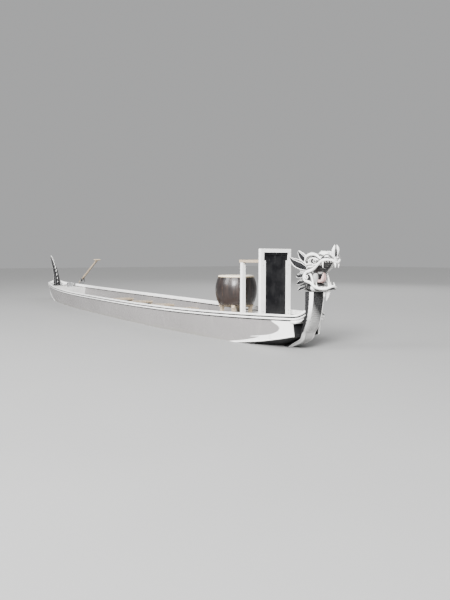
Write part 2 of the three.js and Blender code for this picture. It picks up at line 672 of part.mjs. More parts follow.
// Fork: it swivels on its pin in the arm, and its cheeks carry the saddle's trunnions
const forkFloor = armTop + FORK_LIFT;
const cheekTop = OARLOCK.z + CHEEK_OVER_PIN;
const forkOut = FORK_INSIDE + FORK_WALL;
const fork = joined(
  rod([OARLOCK.x, OARLOCK.y, armBottom - 8], [OARLOCK.x, OARLOCK.y, forkFloor + 4], PIN_RADIUS),
  block(
    [OARLOCK.x - FORK_HALF_DEEP, OARLOCK.y - forkOut, forkFloor],
    [OARLOCK.x + FORK_HALF_DEEP, OARLOCK.y + forkOut, forkFloor + FORK_WALL],
  ),
  ...[1, -1].map((side) => {
    const y = OARLOCK.y + side * (FORK_INSIDE + FORK_WALL / 2);
    return block(
      [OARLOCK.x - FORK_HALF_DEEP, y - FORK_WALL / 2, forkFloor],
      [OARLOCK.x + FORK_HALF_DEEP, y + FORK_WALL / 2, cheekTop],
    );
  }),
);
const bore = rod(
  [OARLOCK.x, OARLOCK.y - forkOut - 5, OARLOCK.z],
  [OARLOCK.x, OARLOCK.y + forkOut + 5, OARLOCK.z],
  TRUNNION_RADIUS + RUNNING_FIT,
);
add("oarlock_fork", shaped(fork.subtract(solid(bore))), "steel");

// The saddle and the oar are made along X through the oarlock and then leaned to the oar's pitch
function onOar(geometry) {
  geometry.rotateY(-THREE.MathUtils.degToRad(OAR_PITCH));
  geometry.translate(OARLOCK.x, OARLOCK.y, OARLOCK.z);
  return geometry;
}
const saddle = joined(
  rod([-SADDLE_HALF_LONG, 0, 0], [SADDLE_HALF_LONG, 0, 0], SADDLE_RADIUS, 24),
  rod([0, -forkOut, 0], [0, forkOut, 0], TRUNNION_RADIUS),
);
const boreReach = SADDLE_HALF_LONG + 5;
const saddleBore = rod([-boreReach, 0, 0], [boreReach, 0, 0], OAR_RADIUS + RUNNING_FIT, 24);
add("oar_saddle", onOar(shaped(saddle.subtract(solid(saddleBore)))), "steel");

const bladeRoot = -(OAR_OUTBOARD - BLADE_LONG);
add("steering_oar_shaft", onOar(rod([bladeRoot + GAP, 0, 0], [OAR_INBOARD, 0, 0], OAR_RADIUS, 24)), "wood");
add("steering_oar_blade", onOar(carved([
  { x: -OAR_OUTBOARD, z: 0, wide: 5, deep: BLADE_HALF_WIDE - 8 },
  { x: -OAR_OUTBOARD + 20, z: 0, wide: BLADE_THICK / 2, deep: BLADE_HALF_WIDE },
  { x: -OAR_OUTBOARD + 380, z: 0, wide: BLADE_THICK / 2 + 2, deep: BLADE_HALF_WIDE - 4 },
  { x: -OAR_OUTBOARD + 560, z: 0, wide: 14, deep: 74 },
  { x: -OAR_OUTBOARD + 650, z: 0, wide: 20, deep: 42 },
  { x: bladeRoot, z: 0, wide: OAR_RADIUS, deep: OAR_RADIUS },
], { sides: 16, square: 3 })), "blade");
const gripAt = OAR_INBOARD + GRIP_RADIUS + GAP;
const grip = rod([gripAt, -GRIP_HALF_LONG, 0], [gripAt, GRIP_HALF_LONG, 0], GRIP_RADIUS);
add("steering_oar_handle", onOar(grip), "wood");

export default model;
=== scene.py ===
"""Looks of the dragon boat: finishes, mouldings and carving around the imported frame.

Metres, in the frame's own axes: X forward to the head, Y to port, Z up, with the waterline at Z = 0.
"""

import math

import bmesh
import bpy
import numpy as np
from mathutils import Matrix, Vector
from mathutils.bvhtree import BVHTree


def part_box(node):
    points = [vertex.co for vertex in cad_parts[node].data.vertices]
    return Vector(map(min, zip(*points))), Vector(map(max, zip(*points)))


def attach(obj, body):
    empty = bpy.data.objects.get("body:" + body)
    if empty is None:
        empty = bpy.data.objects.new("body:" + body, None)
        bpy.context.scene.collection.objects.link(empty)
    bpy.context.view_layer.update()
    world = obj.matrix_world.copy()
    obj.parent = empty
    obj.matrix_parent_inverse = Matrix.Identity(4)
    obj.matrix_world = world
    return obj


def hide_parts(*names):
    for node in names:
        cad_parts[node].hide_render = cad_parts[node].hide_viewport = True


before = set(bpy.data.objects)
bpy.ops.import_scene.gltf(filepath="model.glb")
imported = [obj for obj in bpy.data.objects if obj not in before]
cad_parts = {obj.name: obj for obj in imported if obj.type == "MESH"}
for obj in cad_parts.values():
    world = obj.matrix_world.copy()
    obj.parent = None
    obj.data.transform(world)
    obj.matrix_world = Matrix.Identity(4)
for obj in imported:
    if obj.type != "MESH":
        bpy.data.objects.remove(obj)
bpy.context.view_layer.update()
SIDES = (("port", 1), ("starboard", -1))
LENGTHS = ("bow", "middle", "stern")
SEAT_POSTS = [f"seat_post_{end}_{side}" for end in ("front", "rear") for side, _ in SIDES]
ROWS = range(1, 6)
UP = (0, 0, 1)

# Hull lines
HULL_HALF = 4.2
HALF_BEAM = 0.545
END_BEAM = 0.2
PLAN_FULLNESS = 2.7
RAIL_TOP = 0.295
RAIL_RISE = 0.065
SHEER_FULLNESS = 3
RAIL_HIGH = 0.05
CHINE = -0.08
CHINE_RISE = 0.225
CHINE_FULLNESS = 5
BOTTOM = -0.15
BOTTOM_RISE = 0.275
BOTTOM_FULLNESS = 8
FLARE = 0.157
SKIN = 0.014
CHINE_LAP = 0.004
CHINE_BEAD = 0.007


def along(x):
    return abs(x) / HULL_HALF


def half_beam(x):
    return HALF_BEAM - (HALF_BEAM - END_BEAM) * along(x) ** PLAN_FULLNESS


def rail_top(x):
    return RAIL_TOP + RAIL_RISE * along(x) ** SHEER_FULLNESS


def side_top(x):
    return rail_top(x) - RAIL_HIGH


def chine(x):
    return CHINE + CHINE_RISE * along(x) ** CHINE_FULLNESS


def bottom(x):
    return BOTTOM + BOTTOM_RISE * along(x) ** BOTTOM_FULLNESS


def side_half(x, z):
    return half_beam(x) - FLARE * (side_top(x) - z)


def chine_half(x):
    return side_half(x, chine(x))


# Mesh helpers. A part is a pair: its points, and its faces as lists of point numbers.
def loft(rings, caps=True):
    """Closed rings of points, joined one after the other."""
    count = len(rings[0])
    points = [tuple(p) for ring in rings for p in ring]
    faces = []
    for r in range(len(rings) - 1):
        for i in range(count):
            j = (i + 1) % count
            faces.append((r * count + i, r * count + j, (r + 1) * count + j, (r + 1) * count + i))
    if caps:
        faces.append(tuple(reversed(range(count))))
        faces.append(tuple(range(len(points) - count, len(points))))
    return points, faces


def curve_point(rows, s):
    """The point at place s, counted in rows, of a smooth curve through the rows."""
    i = min(int(s), len(rows) - 2)
    t = s - i
    a = rows[i - 1] if i > 0 else 2 * rows[0] - rows[1]
    b = rows[i]
    c = rows[i + 1]
    d = rows[i + 2] if i + 2 < len(rows) else 2 * rows[-1] - rows[-2]
    return 0.5 * (2 * b + (c - a) * t + (2 * a - 5 * b + 4 * c - d) * t ** 2
                  + (3 * b - a - 3 * c + d) * t ** 3)


def smooth_line(rows, count):
    """Points along a smooth curve through the rows, with as many columns as they have."""
    rows = np.array(rows, float)
    return np.array([curve_point(rows, s) for s in np.linspace(0, len(rows) - 1, count)])


def turns(count):
    """Even steps round a circle."""
    return np.linspace(0, 2 * math.pi, count, endpoint=False)


def mm(rows):
    """Rows in metres, from rows in millimetres."""
    return [tuple(value / 1000 for value in row) for row in rows]


def unit(v):
    return np.asarray(v) / max(np.linalg.norm(v), 1e-9)


def frames_along(centres):
    """A tangent and two steady cross directions at each point of a line."""
    tangents = np.gradient(centres, axis=0)
    tangents = np.array([unit(t) for t in tangents])
    start = np.array([0.0, 0.0, 1.0]) if abs(tangents[0][2]) < 0.9 else np.array([0.0, 1.0, 0.0])
    first = unit(np.cross(tangents[0], start))
    firsts = []
    for t in tangents:
        first = unit(first - t * (first @ t))
        firsts.append(first)
    firsts = np.array(firsts)
    return tangents, firsts, np.cross(tangents, firsts)


CAP_LEANS = [math.radians(lean) for lean in (22, 50, 80)]
THINNEST = 0.0006


def tube(rows, sides=10, steps=5):
    """A tube with round ends. A row is x, y, z and radius."""
    line = smooth_line(rows, (len(rows) - 1) * steps + 1)
    centres = line[:, :3]
    radii = np.maximum(line[:, 3], THINNEST)
    tangents, firsts, seconds = frames_along(centres)
    last = len(line) - 1
    stations = [(0, -radii[0] * math.sin(a), radii[0] * math.cos(a)) for a in CAP_LEANS[::-1]]
    stations += [(i, 0.0, radii[i]) for i in range(len(line))]
    stations += [(last, radii[last] * math.sin(a), radii[last] * math.cos(a)) for a in CAP_LEANS]
    rings = []
    for i, ahead, radius in stations:
        centre = centres[i] + tangents[i] * ahead
        rings.append([centre + radius * (math.cos(a) * firsts[i] + math.sin(a) * seconds[i])
                      for a in turns(sides)])
    return loft(rings)


def ball(centre, radii, sides=20, rows=12):
    """An ellipsoid."""
    rings = []
    for lean in np.linspace(4, 176, rows):
        a = math.radians(lean)
        rings.append([(
            centre[0] + radii[0] * math.cos(a),
            centre[1] + radii[1] * math.sin(a) * math.cos(b),
            centre[2] + radii[2] * math.sin(a) * math.sin(b),
        ) for b in turns(sides)])
    return loft(rings)


def rounded(a, square):
    """A point of a rounded square, at an angle."""
    c = math.cos(a)
    s = math.sin(a)
    return math.copysign(abs(c) ** (2 / square), c), math.copysign(abs(s) ** (2 / square), s)


def upright_form(rows, steps=5, sides=36, square=2.5):
    """Rounded upright sections along X. A row is x, lowest z, highest z and half width."""
    rings = []
    for x, low, high, wide in smooth_line(rows, (len(rows) - 1) * steps + 1):
        ring = []
        for a in turns(sides):
            across, up = rounded(a, square)
            ring.append((x, wide * across, (low + high) / 2 + up * (high - low) / 2))
        rings.append(ring)
    return loft(rings)


def block(low, high):
    """A straight block between two corners."""
    x0, y0, z0 = low
    x1, y1, z1 = high
    return loft([[(x, y0, z0), (x, y1, z0), (x, y1, z1), (x, y0, z1)] for x in (x0, x1)])


def mirrored(part):
    points, faces = part
    return [(x, -y, z) for x, y, z in points], [tuple(reversed(f)) for f in faces]


def both(part):
    return [part, mirrored(part)]


def on_side(part, sign):
    """A part made for port, on the side of the sign."""
    return part if sign > 0 else mirrored(part)


def band(rows):
    """Tubes on both sides, from rows in millimetres."""
    return both(tube(mm(rows)))


def placed(name, data):
    made = bpy.data.objects.new(name, data)
    bpy.context.scene.collection.objects.link(made)
    return made


def raw_mesh(name, parts):
    points, faces = [], []
    for part_points, part_faces in parts:
        start = len(points)
        points += [tuple(map(float, p)) for p in part_points]
        faces += [tuple(start + i for i in f) for f in part_faces]
    mesh = bpy.data.meshes.new(name)
    mesh.from_pydata(points, [], faces)
    edit = bmesh.new()
    edit.from_mesh(mesh)
    bmesh.ops.recalc_face_normals(edit, faces=edit.faces)
    edit.to_mesh(mesh)
    edit.free()
    return mesh


def piece(name, mesh, finish, body="boat", stands_for=(), sharp=40):
    """Places a mesh, or a list of parts, as a finished piece of the boat."""
    if not isinstance(mesh, bpy.types.Mesh):
        mesh = raw_mesh(name, mesh)
    mesh.name = name
    mesh.materials.clear()
    mesh.materials.append(finish)
    mesh.shade_smooth()
    mesh.set_sharp_from_angle(angle=math.radians(sharp))
    made = placed(name, mesh)
    if stands_for:
        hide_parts(*stands_for)
    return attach(made, body)


def soften_edges(made, width, segments=2):
    """Rounds the hard edges of a piece or a frame node."""
    bevel = made.modifiers.new("soft_edges", "BEVEL")
    bevel.width = width
    bevel.segments = segments
    bevel.limit_method = "ANGLE"
    bevel.angle_limit = math.radians(35)
    bevel.harden_normals = True


def positions(mesh):
    flat = np.zeros(len(mesh.vertices) * 3)
    mesh.vertices.foreach_get("co", flat)
    return flat.reshape(-1, 3)


def mark(mesh, name, values):
    """Keeps one number a point, for the materials to read."""
    layer = mesh.attributes.new(name, "FLOAT", "POINT")
    layer.data.foreach_set("value", np.asarray(values, np.float32))


def melted(parts, voxel, relax=3):
    """Overlapping closed forms, melted into one skin."""
    lump = placed("lump", raw_mesh("lump", parts))
    melt = lump.modifiers.new("melt", "REMESH")
    melt.mode = "VOXEL"
    melt.voxel_size = voxel
    ease = lump.modifiers.new("ease", "SMOOTH")
    ease.factor = 0.5
    ease.iterations = relax
    graph = bpy.context.evaluated_depsgraph_get()
    mesh = bpy.data.meshes.new_from_object(lump.evaluated_get(graph))
    bpy.data.objects.remove(lump)
    return mesh


def spread(mesh, values, passes):
    """Evens out the numbers of each point among its neighbours."""
    edges = np.zeros(len(mesh.edges) * 2, np.int64)
    mesh.edges.foreach_get("vertices", edges)
    a, b = edges.reshape(-1, 2).T
    count = np.bincount(np.concatenate([a, b]), minlength=len(mesh.vertices)).clip(1)
    values = np.array(values, float)
    columns = values.reshape(len(values), -1)
    size = len(columns)
    for _ in range(passes):
        total = [np.bincount(a, column[b], size) + np.bincount(b, column[a], size) for column in columns.T]
        columns = 0.5 * columns + 0.5 * np.array(total).T / count[:, None]
    return columns.reshape(values.shape)


def mark_relief(mesh, passes, depth):
    """Marks hollows with 0, plain surface with 0.5 and ridges with 1."""
    place = positions(mesh)
    normals = np.zeros(len(mesh.vertices) * 3)
    mesh.vertices.foreach_get("normal", normals)
    sunk = ((place - spread(mesh, place, passes)) * normals.reshape(-1, 3)).sum(1)
    mark(mesh, "relief", np.clip(0.5 + sunk / depth, 0, 1))


def mark_tone(mesh, toned, passes=1):
    """Marks each point with the tone of the form that it came from. A row is a tone and its parts."""
    trees = []
    for tone, parts in toned:
        source = raw_mesh("tone", parts)
        faces = [tuple(f.vertices) for f in source.polygons]
        trees.append((tone, BVHTree.FromPolygons([v.co for v in source.vertices], faces)))
        bpy.data.meshes.remove(source)
    tones = []
    for v in mesh.vertices:
        tones.append(min((tree.find_nearest(v.co)[3], tone) for tone, tree in trees)[1])
    mark(mesh, "tone", spread(mesh, tones, passes))


# Materials
class Finish:
    """A material whose colour, roughness and height come from nodes, in the object's own space."""

    def __init__(self, name, **sockets):
        self.material = bpy.data.materials.new(name)
        self.material.use_nodes = True
        self.tree = self.material.node_tree
        self.shader = self.tree.nodes["Principled BSDF"]
        self.place = self.node("ShaderNodeTexCoord").outputs["Object"]
        self.colour = None
        for key, value in sockets.items():
            self.shader.inputs[key.replace("_", " ")].default_value = value

    def node(self, kind, inputs=None, **settings):
        made = self.tree.nodes.new(kind)
        for key, value in settings.items():
            setattr(made, key, value)
        for key, value in (inputs or {}).items():
            self.feed(made.inputs[key], value)
        return made

    def feed(self, socket, value):
        if isinstance(value, bpy.types.NodeSocket):
            self.tree.links.new(value, socket)
        elif isinstance(value, (tuple, list)) and socket.type == "RGBA":
            socket.default_value = (*value[:3], 1)
        else:
            socket.default_value = value

    def noise(self, scale, stretch=(1, 1, 1), detail=4.0, roughness=0.55):
        spot = self.node("ShaderNodeMapping", {0: self.place, 3: stretch}).outputs[0]
        inputs = {"Vector": spot, "Scale": scale, "Detail": detail, "Roughness": roughness}
        return self.node("ShaderNodeTexNoise", inputs).outputs["Fac"]

    def span(self, value, low, high, to_low=0.0, to_high=1.0):
        """Maps a number from one span to another, and keeps it inside."""
        inputs = {0: value, 1: low, 2: high, 3: to_low, 4: to_high}
        return self.node("ShaderNodeMapRange", inputs).outputs[0]

    def calc(self, operation, a, b=0.0):
        return self.node("ShaderNodeMath", {0: a, 1: b}, operation=operation).outputs[0]

    def times(self, a, b):
        return self.calc("MULTIPLY", a, b)

    def minus(self, a, b):
        return self.calc("SUBTRACT", a, b)

    def average(self, a, b, share=0.5):
        return self.calc("ADD", self.times(a, share), self.times(b, 1 - share))

    def mix(self, share, a, b, blend="MIX"):
        made = self.node("ShaderNodeMix", {0: share, 6: a, 7: b}, data_type="RGBA", blend_type=blend)
        return made.outputs[2]

    def ground(self, value, low, high, dark, light):
        """The first colour: from dark to light as a value goes from low to high."""
        self.colour = self.mix(self.span(value, low, high), dark, light)

    def cover(self, share, colour, blend="MIX"):
        """Lays a share of a colour over what is there."""
        self.colour = self.mix(share, self.colour, colour, blend)

    def coat(self, colour, value, low, high, share=1.0):
        """Covers more with a colour as a value goes from low to high, up to a share."""
        self.cover(self.span(value, low, high, 0, share), colour)

    def mark(self, name):
        return self.node("ShaderNodeAttribute", attribute_name=name).outputs["Fac"]

    def axis(self, letter):
        return self.node("ShaderNodeSeparateXYZ", {0: self.place}).outputs[letter]

    def edges(self, radius=0.004):
        """1 along hard edges, which wear first."""
        normals = {0: self.node("ShaderNodeBevel", {"Radius": radius}, samples=4).outputs[0],
                   1: self.node("ShaderNodeNewGeometry").outputs["Normal"]}
        facing = self.node("ShaderNodeVectorMath", normals, operation="DOT_PRODUCT")
        return self.span(facing.outputs["Value"], 0.995, 0.93)

    def height(self, value, distance, strength=1.0, under=None):
        inputs = {"Height": value, "Distance": distance, "Strength": strength}
        if under is not None:
            inputs["Normal"] = under
        return self.node("ShaderNodeBump", inputs).outputs[0]

    def done(self, normal, value, smooth, rough, low=0.3, high=0.7):
        """Roughness goes from smooth to rough as a value goes from low to high."""
        self.feed(self.shader.inputs["Base Color"], self.colour)
        self.feed(self.shader.inputs["Roughness"], self.span(value, low, high, smooth, rough))
        self.feed(self.shader.inputs["Normal"], normal)
        return self.material


def scaled(colour, factor):
    return tuple(min(1.0, c * factor) for c in colour)


def worn_paint(name, colour, under, roughness, wear=0.5, brush=(1, 1, 1), lined=False, **sockets):
    """Brushed paint: cloudy colour, fine strokes, grime in patches, and worn edges that show what is under.
    Lined paint is black where the tone is 0."""
    f = Finish(name, **sockets)
    cloud = f.noise(3.0, brush, detail=5)
    strokes = f.noise(60.0, tuple(0.08 if b < 1 else b for b in brush), detail=3)
    f.ground(cloud, 0.3, 0.7, scaled(colour, 0.86), scaled(colour, 1.06))
    f.coat(scaled(colour, 0.7), strokes, 0.45, 0.75, 0.22)
    f.coat(scaled(under, 0.8), f.noise(9.0, detail=6, roughness=0.7), 0.55, 0.8, 0.35)
    chips = f.times(f.edges(), f.span(f.noise(35.0, detail=5), 0.62 - 0.2 * wear, 0.72))
    f.cover(chips, under)
    if lined:
        f.colour = f.mix(f.mark("tone"), BLACK, f.colour)
    bumps = f.height(chips, 0.0008, 0.5, f.height(strokes, 0.0006, 0.5))
    mottle = f.average(cloud, f.noise(180.0, detail=2))
    return f.done(bumps, mottle, roughness * 0.75, min(1, roughness * 1.3))


def varnished_wood(name, light, dark, lengthwise=0, lean=0.0):
    """Grain that runs along one axis, with pores and a worn varnish."""
    f = Finish(name, Coat_Weight=0.25, Coat_Roughness=0.25)
    f.place = f.node("ShaderNodeMapping", {0: f.place, 2: (0, lean, 0)}).outputs[0]
    stretch = tuple(0.7 if axis == lengthwise else 9.0 for axis in range(3))
    fibre = f.noise(22.0, stretch)
    pores = f.noise(70.0, tuple(s * 0.9 for s in stretch), detail=2)
    rings = f.calc("FRACT", f.times(f.noise(3.0, stretch, detail=6, roughness=0.6), 7.0))
    f.ground(rings, 0.0, 0.85, dark, light)
    f.coat(scaled(dark, 0.8), fibre, 0.4, 0.7, 0.45)
    f.coat(scaled(dark, 0.4), pores, 0.62, 0.7, 0.6)
    f.cover(f.times(f.edges(0.003), 0.5), scaled(light, 1.25))
    f.coat(scaled(dark, 0.6), f.noise(2.2, detail=5), 0.55, 0.75, 0.4)
    return f.done(f.height(f.minus(fibre, f.span(pores, 0.6, 0.7)), 0.0006, 0.6), fibre, 0.28, 0.5)


# The painted highlight at the bow, a white patch with ragged fingers: share of the side's height, and how
# far aft it reaches as a share of the full reach set just below
HIGHLIGHT_REACH = 1.6
HIGHLIGHT_FINGERS = [
    (0.0, 0.72), (0.06, 0.5), (0.12, 0.36), (0.17, 0.29), (0.205, 0.27), (0.23, 0.35), (0.265, 0.19),
    (0.35, 0.125), (0.5, 0.095), (0.65, 0.1), (0.8, 0.13), (0.9, 0.15), (1.0, 0.16),
]
GEL_DARK = (0.18, 0.17, 0.168)
GEL_LIGHT = (0.214, 0.204, 0.202)
GEL_HIGHLIGHT = (0.9, 0.895, 0.885)
# Painted shadow under the rail: how far down from the side's top the black line reaches
SHADOW_LINE_UNDER_RAIL = 0.0155
SCUM_TOP = 0.055


def hull_gel_coat():
    """Light grey gel coat with a painted highlight at the bow, a white patch shaped like a flame, a painted
    shadow line under the rail, and waterline scum, drips and paddle scuffs.
    """
    f = Finish("hull_gel_coat", Coat_Weight=0.3, Coat_Roughness=0.12)
    rise = f.mark("rise")
    reach = f.node("ShaderNodeFloatCurve", {"Value": rise})
    curve = reach.mapping.curves[0]
    while len(curve.points) < len(HIGHLIGHT_FINGERS):
        curve.points.new(0.5, 0.5)
    for point, place in zip(curve.points, HIGHLIGHT_FINGERS):
        point.location = place
    reach.mapping.update()
    aft = f.span(f.minus(HULL_HALF, f.axis("X")), 0.0, HIGHLIGHT_REACH)
    ragged = f.times(f.minus(f.noise(7.0, (0.35, 1, 1)), 0.5), 0.06)
    inside = f.minus(f.calc("ADD", reach.outputs[0], ragged), aft)
    f.ground(f.noise(1.7, (0.5, 1, 1), detail=5), 0.35, 0.65, GEL_DARK, GEL_LIGHT)
    # Painted highlight: white over the bow end of the side, with ragged fingers reaching aft.
    f.coat(GEL_HIGHLIGHT, inside, -0.006, 0.006)
    # Painted shadow: a black line just under the rail.
    f.coat(BLACK, f.mark("drop"), SHADOW_LINE_UNDER_RAIL, SHADOW_LINE_UNDER_RAIL - 0.002)
    f.coat((0.3, 0.29, 0.27), f.noise(16.0, (1, 1, 0.07)), 0.56, 0.74, 0.35)
    scum = f.times(f.span(f.axis("Z"), SCUM_TOP, 0.0),
                   f.span(f.noise(11.0, (0.4, 0.4, 1), detail=5), 0.3, 0.7))
    f.cover(f.times(scum, 0.75), (0.2, 0.2, 0.165))
    scuff = f.span(f.noise(30.0, (0.25, 0.25, 1.6), detail=5, roughness=0.7), 0.66, 0.74, 0, 0.7)
    f.cover(f.times(scuff, f.span(rise, 0.45, 0.95)), (0.12, 0.12, 0.12))
    waves = f.height(f.noise(2.4, detail=2), 0.01, 0.15)
    peel = f.height(f.noise(260.0, detail=2), 0.0004, 0.35, waves)
    return f.done(peel, f.average(scum, f.noise(6.0)), 0.2, 0.5, 0.15, 0.6)


def carved_paint(name, dark, light, hollow_share=0.9, roughness=0.4, worn_share=0.5):
    """Paint over carving: each form has its tone, hollows hold a dark wash that also stands in for the
    shade in them, and ridges are worn lighter.
    """
    f = Finish(name, Specular_IOR_Level=0.3)
    relief = f.mark("relief")
    cloud = f.noise(14.0, detail=5)
    f.colour = f.mix(f.mark("tone"), dark, light)
    f.cover(f.span(cloud, 0.35, 0.75, 0, 0.4), (0.45, 0.44, 0.43), "MULTIPLY")
    # Hollows near black: a dark wash that is also painted shade.
    f.coat((0.006, 0.006, 0.007), relief, 0.48, 0.34, hollow_share)
    worn = f.times(f.span(relief, 0.62, 0.85), f.span(f.noise(70.0), 0.35, 0.6, 0, worn_share))
    f.cover(worn, (0.86, 0.85, 0.82))
    chisel = f.height(f.noise(95.0, (1, 1, 0.4), detail=3), 0.0009, 0.45)
    return f.done(chisel, cloud, roughness * 0.8, roughness * 1.35)


def striped_dark(name):
    """Black paint with white lines where the tone says so."""
    f = Finish(name, Specular_IOR_Level=0.25)
    cloud = f.noise(20.0, detail=5)
    f.colour = BLACK
    f.coat(scaled(BLACK, 2.2), cloud, 0.4, 0.75, 0.6)
    f.coat(scaled(WHITE, 0.3), f.noise(90.0, (0.3, 1, 1), detail=3), 0.64, 0.72, 0.2)
    line = f.mix(f.span(cloud, 0.4, 0.8, 0, 0.35), WHITE, scaled(WHITE, 0.6))
    f.coat(line, f.mark("tone"), 0.42, 0.58)
    return f.done(f.height(f.noise(120.0, detail=3), 0.0005, 0.4), cloud, 0.28, 0.5)


def mottled_panel():
    """Black panel, clouded with lighter grey."""
    f = Finish("seat_panel_black", Specular_IOR_Level=0.2)
    cloud = f.noise(9.0, detail=6, roughness=0.6)
    f.ground(cloud, 0.42, 0.72, (0.003, 0.003, 0.004), (0.016, 0.016, 0.017))
    f.coat((0.2, 0.2, 0.2), f.noise(40.0, (0.2, 1.2, 0.15)), 0.69, 0.73, 0.2)
    return f.done(f.height(f.noise(200.0, detail=2), 0.0004, 0.5), cloud, 0.32, 0.55)


def drum_skin():
    """Stretched hide: blotches, hair grain, and a darker patch where the sticks land."""
    f = Finish("drum_skin")
    middle = (*drum_centre[:2], drum_top)
    away = f.node("ShaderNodeVectorMath", {0: f.place, 1: middle}, operation="DISTANCE").outputs["Value"]
    blotch = f.noise(14.0, detail=6, roughness=0.65)
    f.ground(blotch, 0.35, 0.7, (0.72, 0.63, 0.48), (0.86, 0.8, 0.68))
    f.coat((0.46, 0.36, 0.25), away, 0.12, 0.02, 0.45)
    f.coat((0.4, 0.31, 0.21), away, 0.185, 0.215, 0.5)
    return f.done(f.height(f.noise(160.0, (1, 0.25, 1), detail=3), 0.0006, 0.4), blotch, 0.45, 0.7)


def drum_lacquer():
    """Black lacquer over staves, rubbed brown in places."""
    f = Finish("drum_lacquer_black", Coat_Weight=0.25, Coat_Roughness=0.15, Specular_IOR_Level=0.3)
    turn = f.calc("ARCTAN2", f.minus(f.axis("Y"), drum_centre[1]), f.minus(f.axis("X"), drum_centre[0]))
    stave = f.calc("FRACT", f.times(turn, STAVES / (2 * math.pi)))
    seam = f.span(f.calc("ABSOLUTE", f.minus(stave, 0.5)), 0.46, 0.5)
    cloud = f.noise(11.0, (1, 1, 0.3), detail=5)
    f.ground(cloud, 0.4, 0.75, (0.01, 0.008, 0.008), (0.034, 0.022, 0.018))
    f.coat((0.2, 0.12, 0.07), f.noise(45.0, (1, 1, 0.15)), 0.64, 0.72, 0.4)
    f.cover(f.times(seam, 0.8), (0.003, 0.003, 0.003))
    return f.done(f.height(f.minus(1.0, seam), 0.0015, 0.8), cloud, 0.25, 0.45)


def brushed_metal(name, colour):
    """Fittings: drawn lines, smudges and brighter edges."""
    f = Finish(name, Metallic=1.0)
    lines = f.noise(160.0, (0.08, 1, 1), detail=3)
    smudge = f.noise(13.0, detail=6)
    f.ground(smudge, 0.45, 0.75, colour, scaled(colour, 0.55))
    f.cover(f.times(f.edges(0.002), 0.6), scaled(colour, 1.4))
    return f.done(f.height(lines, 0.0004, 0.4), f.average(lines, smudge, 0.4), 0.22, 0.55)


def deck_paint():
    """Pale deck with a fine grit, foot marks and dirt."""
    f = Finish("deck_grit")
    grit = f.node("ShaderNodeTexVoronoi", {"Vector": f.place, "Scale": 420.0}).outputs[0]
    cloud = f.noise(5.0, detail=6)
    f.ground(cloud, 0.35, 0.7, (0.58, 0.57, 0.55), (0.74, 0.73, 0.71))
    f.coat((0.2, 0.19, 0.18), f.noise(18.0, (0.4, 1, 1), detail=5, roughness=0.7), 0.6, 0.74, 0.5)
    return f.done(f.height(grit, 0.0008, 0.5), cloud, 0.55, 0.8)


def eye_paint():
    """White of the eye, a dark ring, a grey iris and a black pupil, by the angle from the gaze."""
    f = Finish("eye_paint", Coat_Weight=0.8, Coat_Roughness=0.05)
    gaze = f.mark("gaze")
    fleck = f.noise(300.0, detail=3)
    f.colour = (0.88, 0.87, 0.84)
    f.coat((0.45, 0.3, 0.28), f.noise(120.0, detail=5), 0.62, 0.7, 0.25)
    f.coat((0.01, 0.01, 0.01), gaze, 0.7, 0.66)
    f.coat(f.mix(fleck, (0.2, 0.2, 0.2), (0.46, 0.46, 0.45)), gaze, 0.6, 0.56)
    f.coat((0.006, 0.006, 0.006), gaze, 0.32, 0.28)
    return f.done(f.height(fleck, 0.0002, 0.2), fleck, 0.12, 0.22)


def floor_paint():
    """Plain pale floor."""
    f = Finish("studio_floor", Specular_IOR_Level=0.2)
    cloud = f.noise(0.8, detail=3)
    f.colour = f.mix(cloud, (0.265, 0.265, 0.263), (0.29, 0.29, 0.288))
    return f.done(f.height(cloud, 0.0005, 0.1), cloud, 0.75, 0.9)


WHITE = (0.88, 0.875, 0.86)
BLACK = (0.008, 0.008, 0.009)
BARE_WOOD = (0.3, 0.21, 0.13)
drum_low, drum_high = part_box("drum_shell")
drum_centre = (drum_low + drum_high) / 2
drum_top = drum_high.z
STAVES = 20
OAR_PITCH = math.radians(24)

GEL = hull_gel_coat()
# Black paint: on the underbody and the end plates it also stands in for the shade there.
UNDERBODY = worn_paint("underbody_black", (0.012, 0.012, 0.013), (0.07, 0.07, 0.07), 0.45, wear=0.3,
                       Specular_IOR_Level=0.2)
RAIL_PAINT = {"colour": WHITE, "under": (0.16, 0.15, 0.14), "roughness": 0.35, "wear": 0.7,
              "brush": (0.25, 1, 1), "Coat_Weight": 0.15}
RAIL = worn_paint("rail_white", **RAIL_PAINT)
RAIL_LINED = worn_paint("rail_white_lined", lined=True, **RAIL_PAINT)
SEAT_WHITE = worn_paint("seat_white", WHITE, BARE_WOOD, 0.4, wear=0.7, brush=(1, 1, 0.2))
DECK = deck_paint()
BENCH = varnished_wood("bench_wood", (0.50, 0.41, 0.30), (0.30, 0.225, 0.15), lengthwise=1)
KEELSON_WOOD = varnished_wood("keelson_wood", (0.44, 0.36, 0.26), (0.26, 0.20, 0.135))
OAR_WOOD = varnished_wood("oar_wood", (0.56, 0.46, 0.33), (0.36, 0.27, 0.18), lean=OAR_PITCH)
PANEL = mottled_panel()
CARVED = carved_paint("carved_white", (0.012, 0.012, 0.013), WHITE)
SCALES = carved_paint("scale_black", BLACK, WHITE, hollow_share=0.95, roughness=0.5, worn_share=0.10)
LOCKS = striped_dark("lock_black")
BLADE = striped_dark("blade_black")
TONGUE = carved_paint("tongue_pink", (0.30, 0.16, 0.15), (0.66, 0.47, 0.45), hollow_share=0.6)
HIDE = drum_skin()
LACQUER = drum_lacquer()
STEEL = brushed_metal("fitting_steel", (0.56, 0.57, 0.58))
BRASS = brushed_metal("tack_brass", (0.62, 0.50, 0.30))
EYE = eye_paint()


# Hull skins
def hull_stations():
    """Places along the hull, closer together towards its ends."""
    middle = np.linspace(-3.3, 3.3, 45)
    ends = np.linspace(3.36, HULL_HALF, 22)
    return [*(-ends[::-1]), *middle, *ends]


def lengths_of(name):
    """The frame's nodes of a part that is cut in three lengths."""
    return [f"{name}_{length}" for length in LENGTHS]


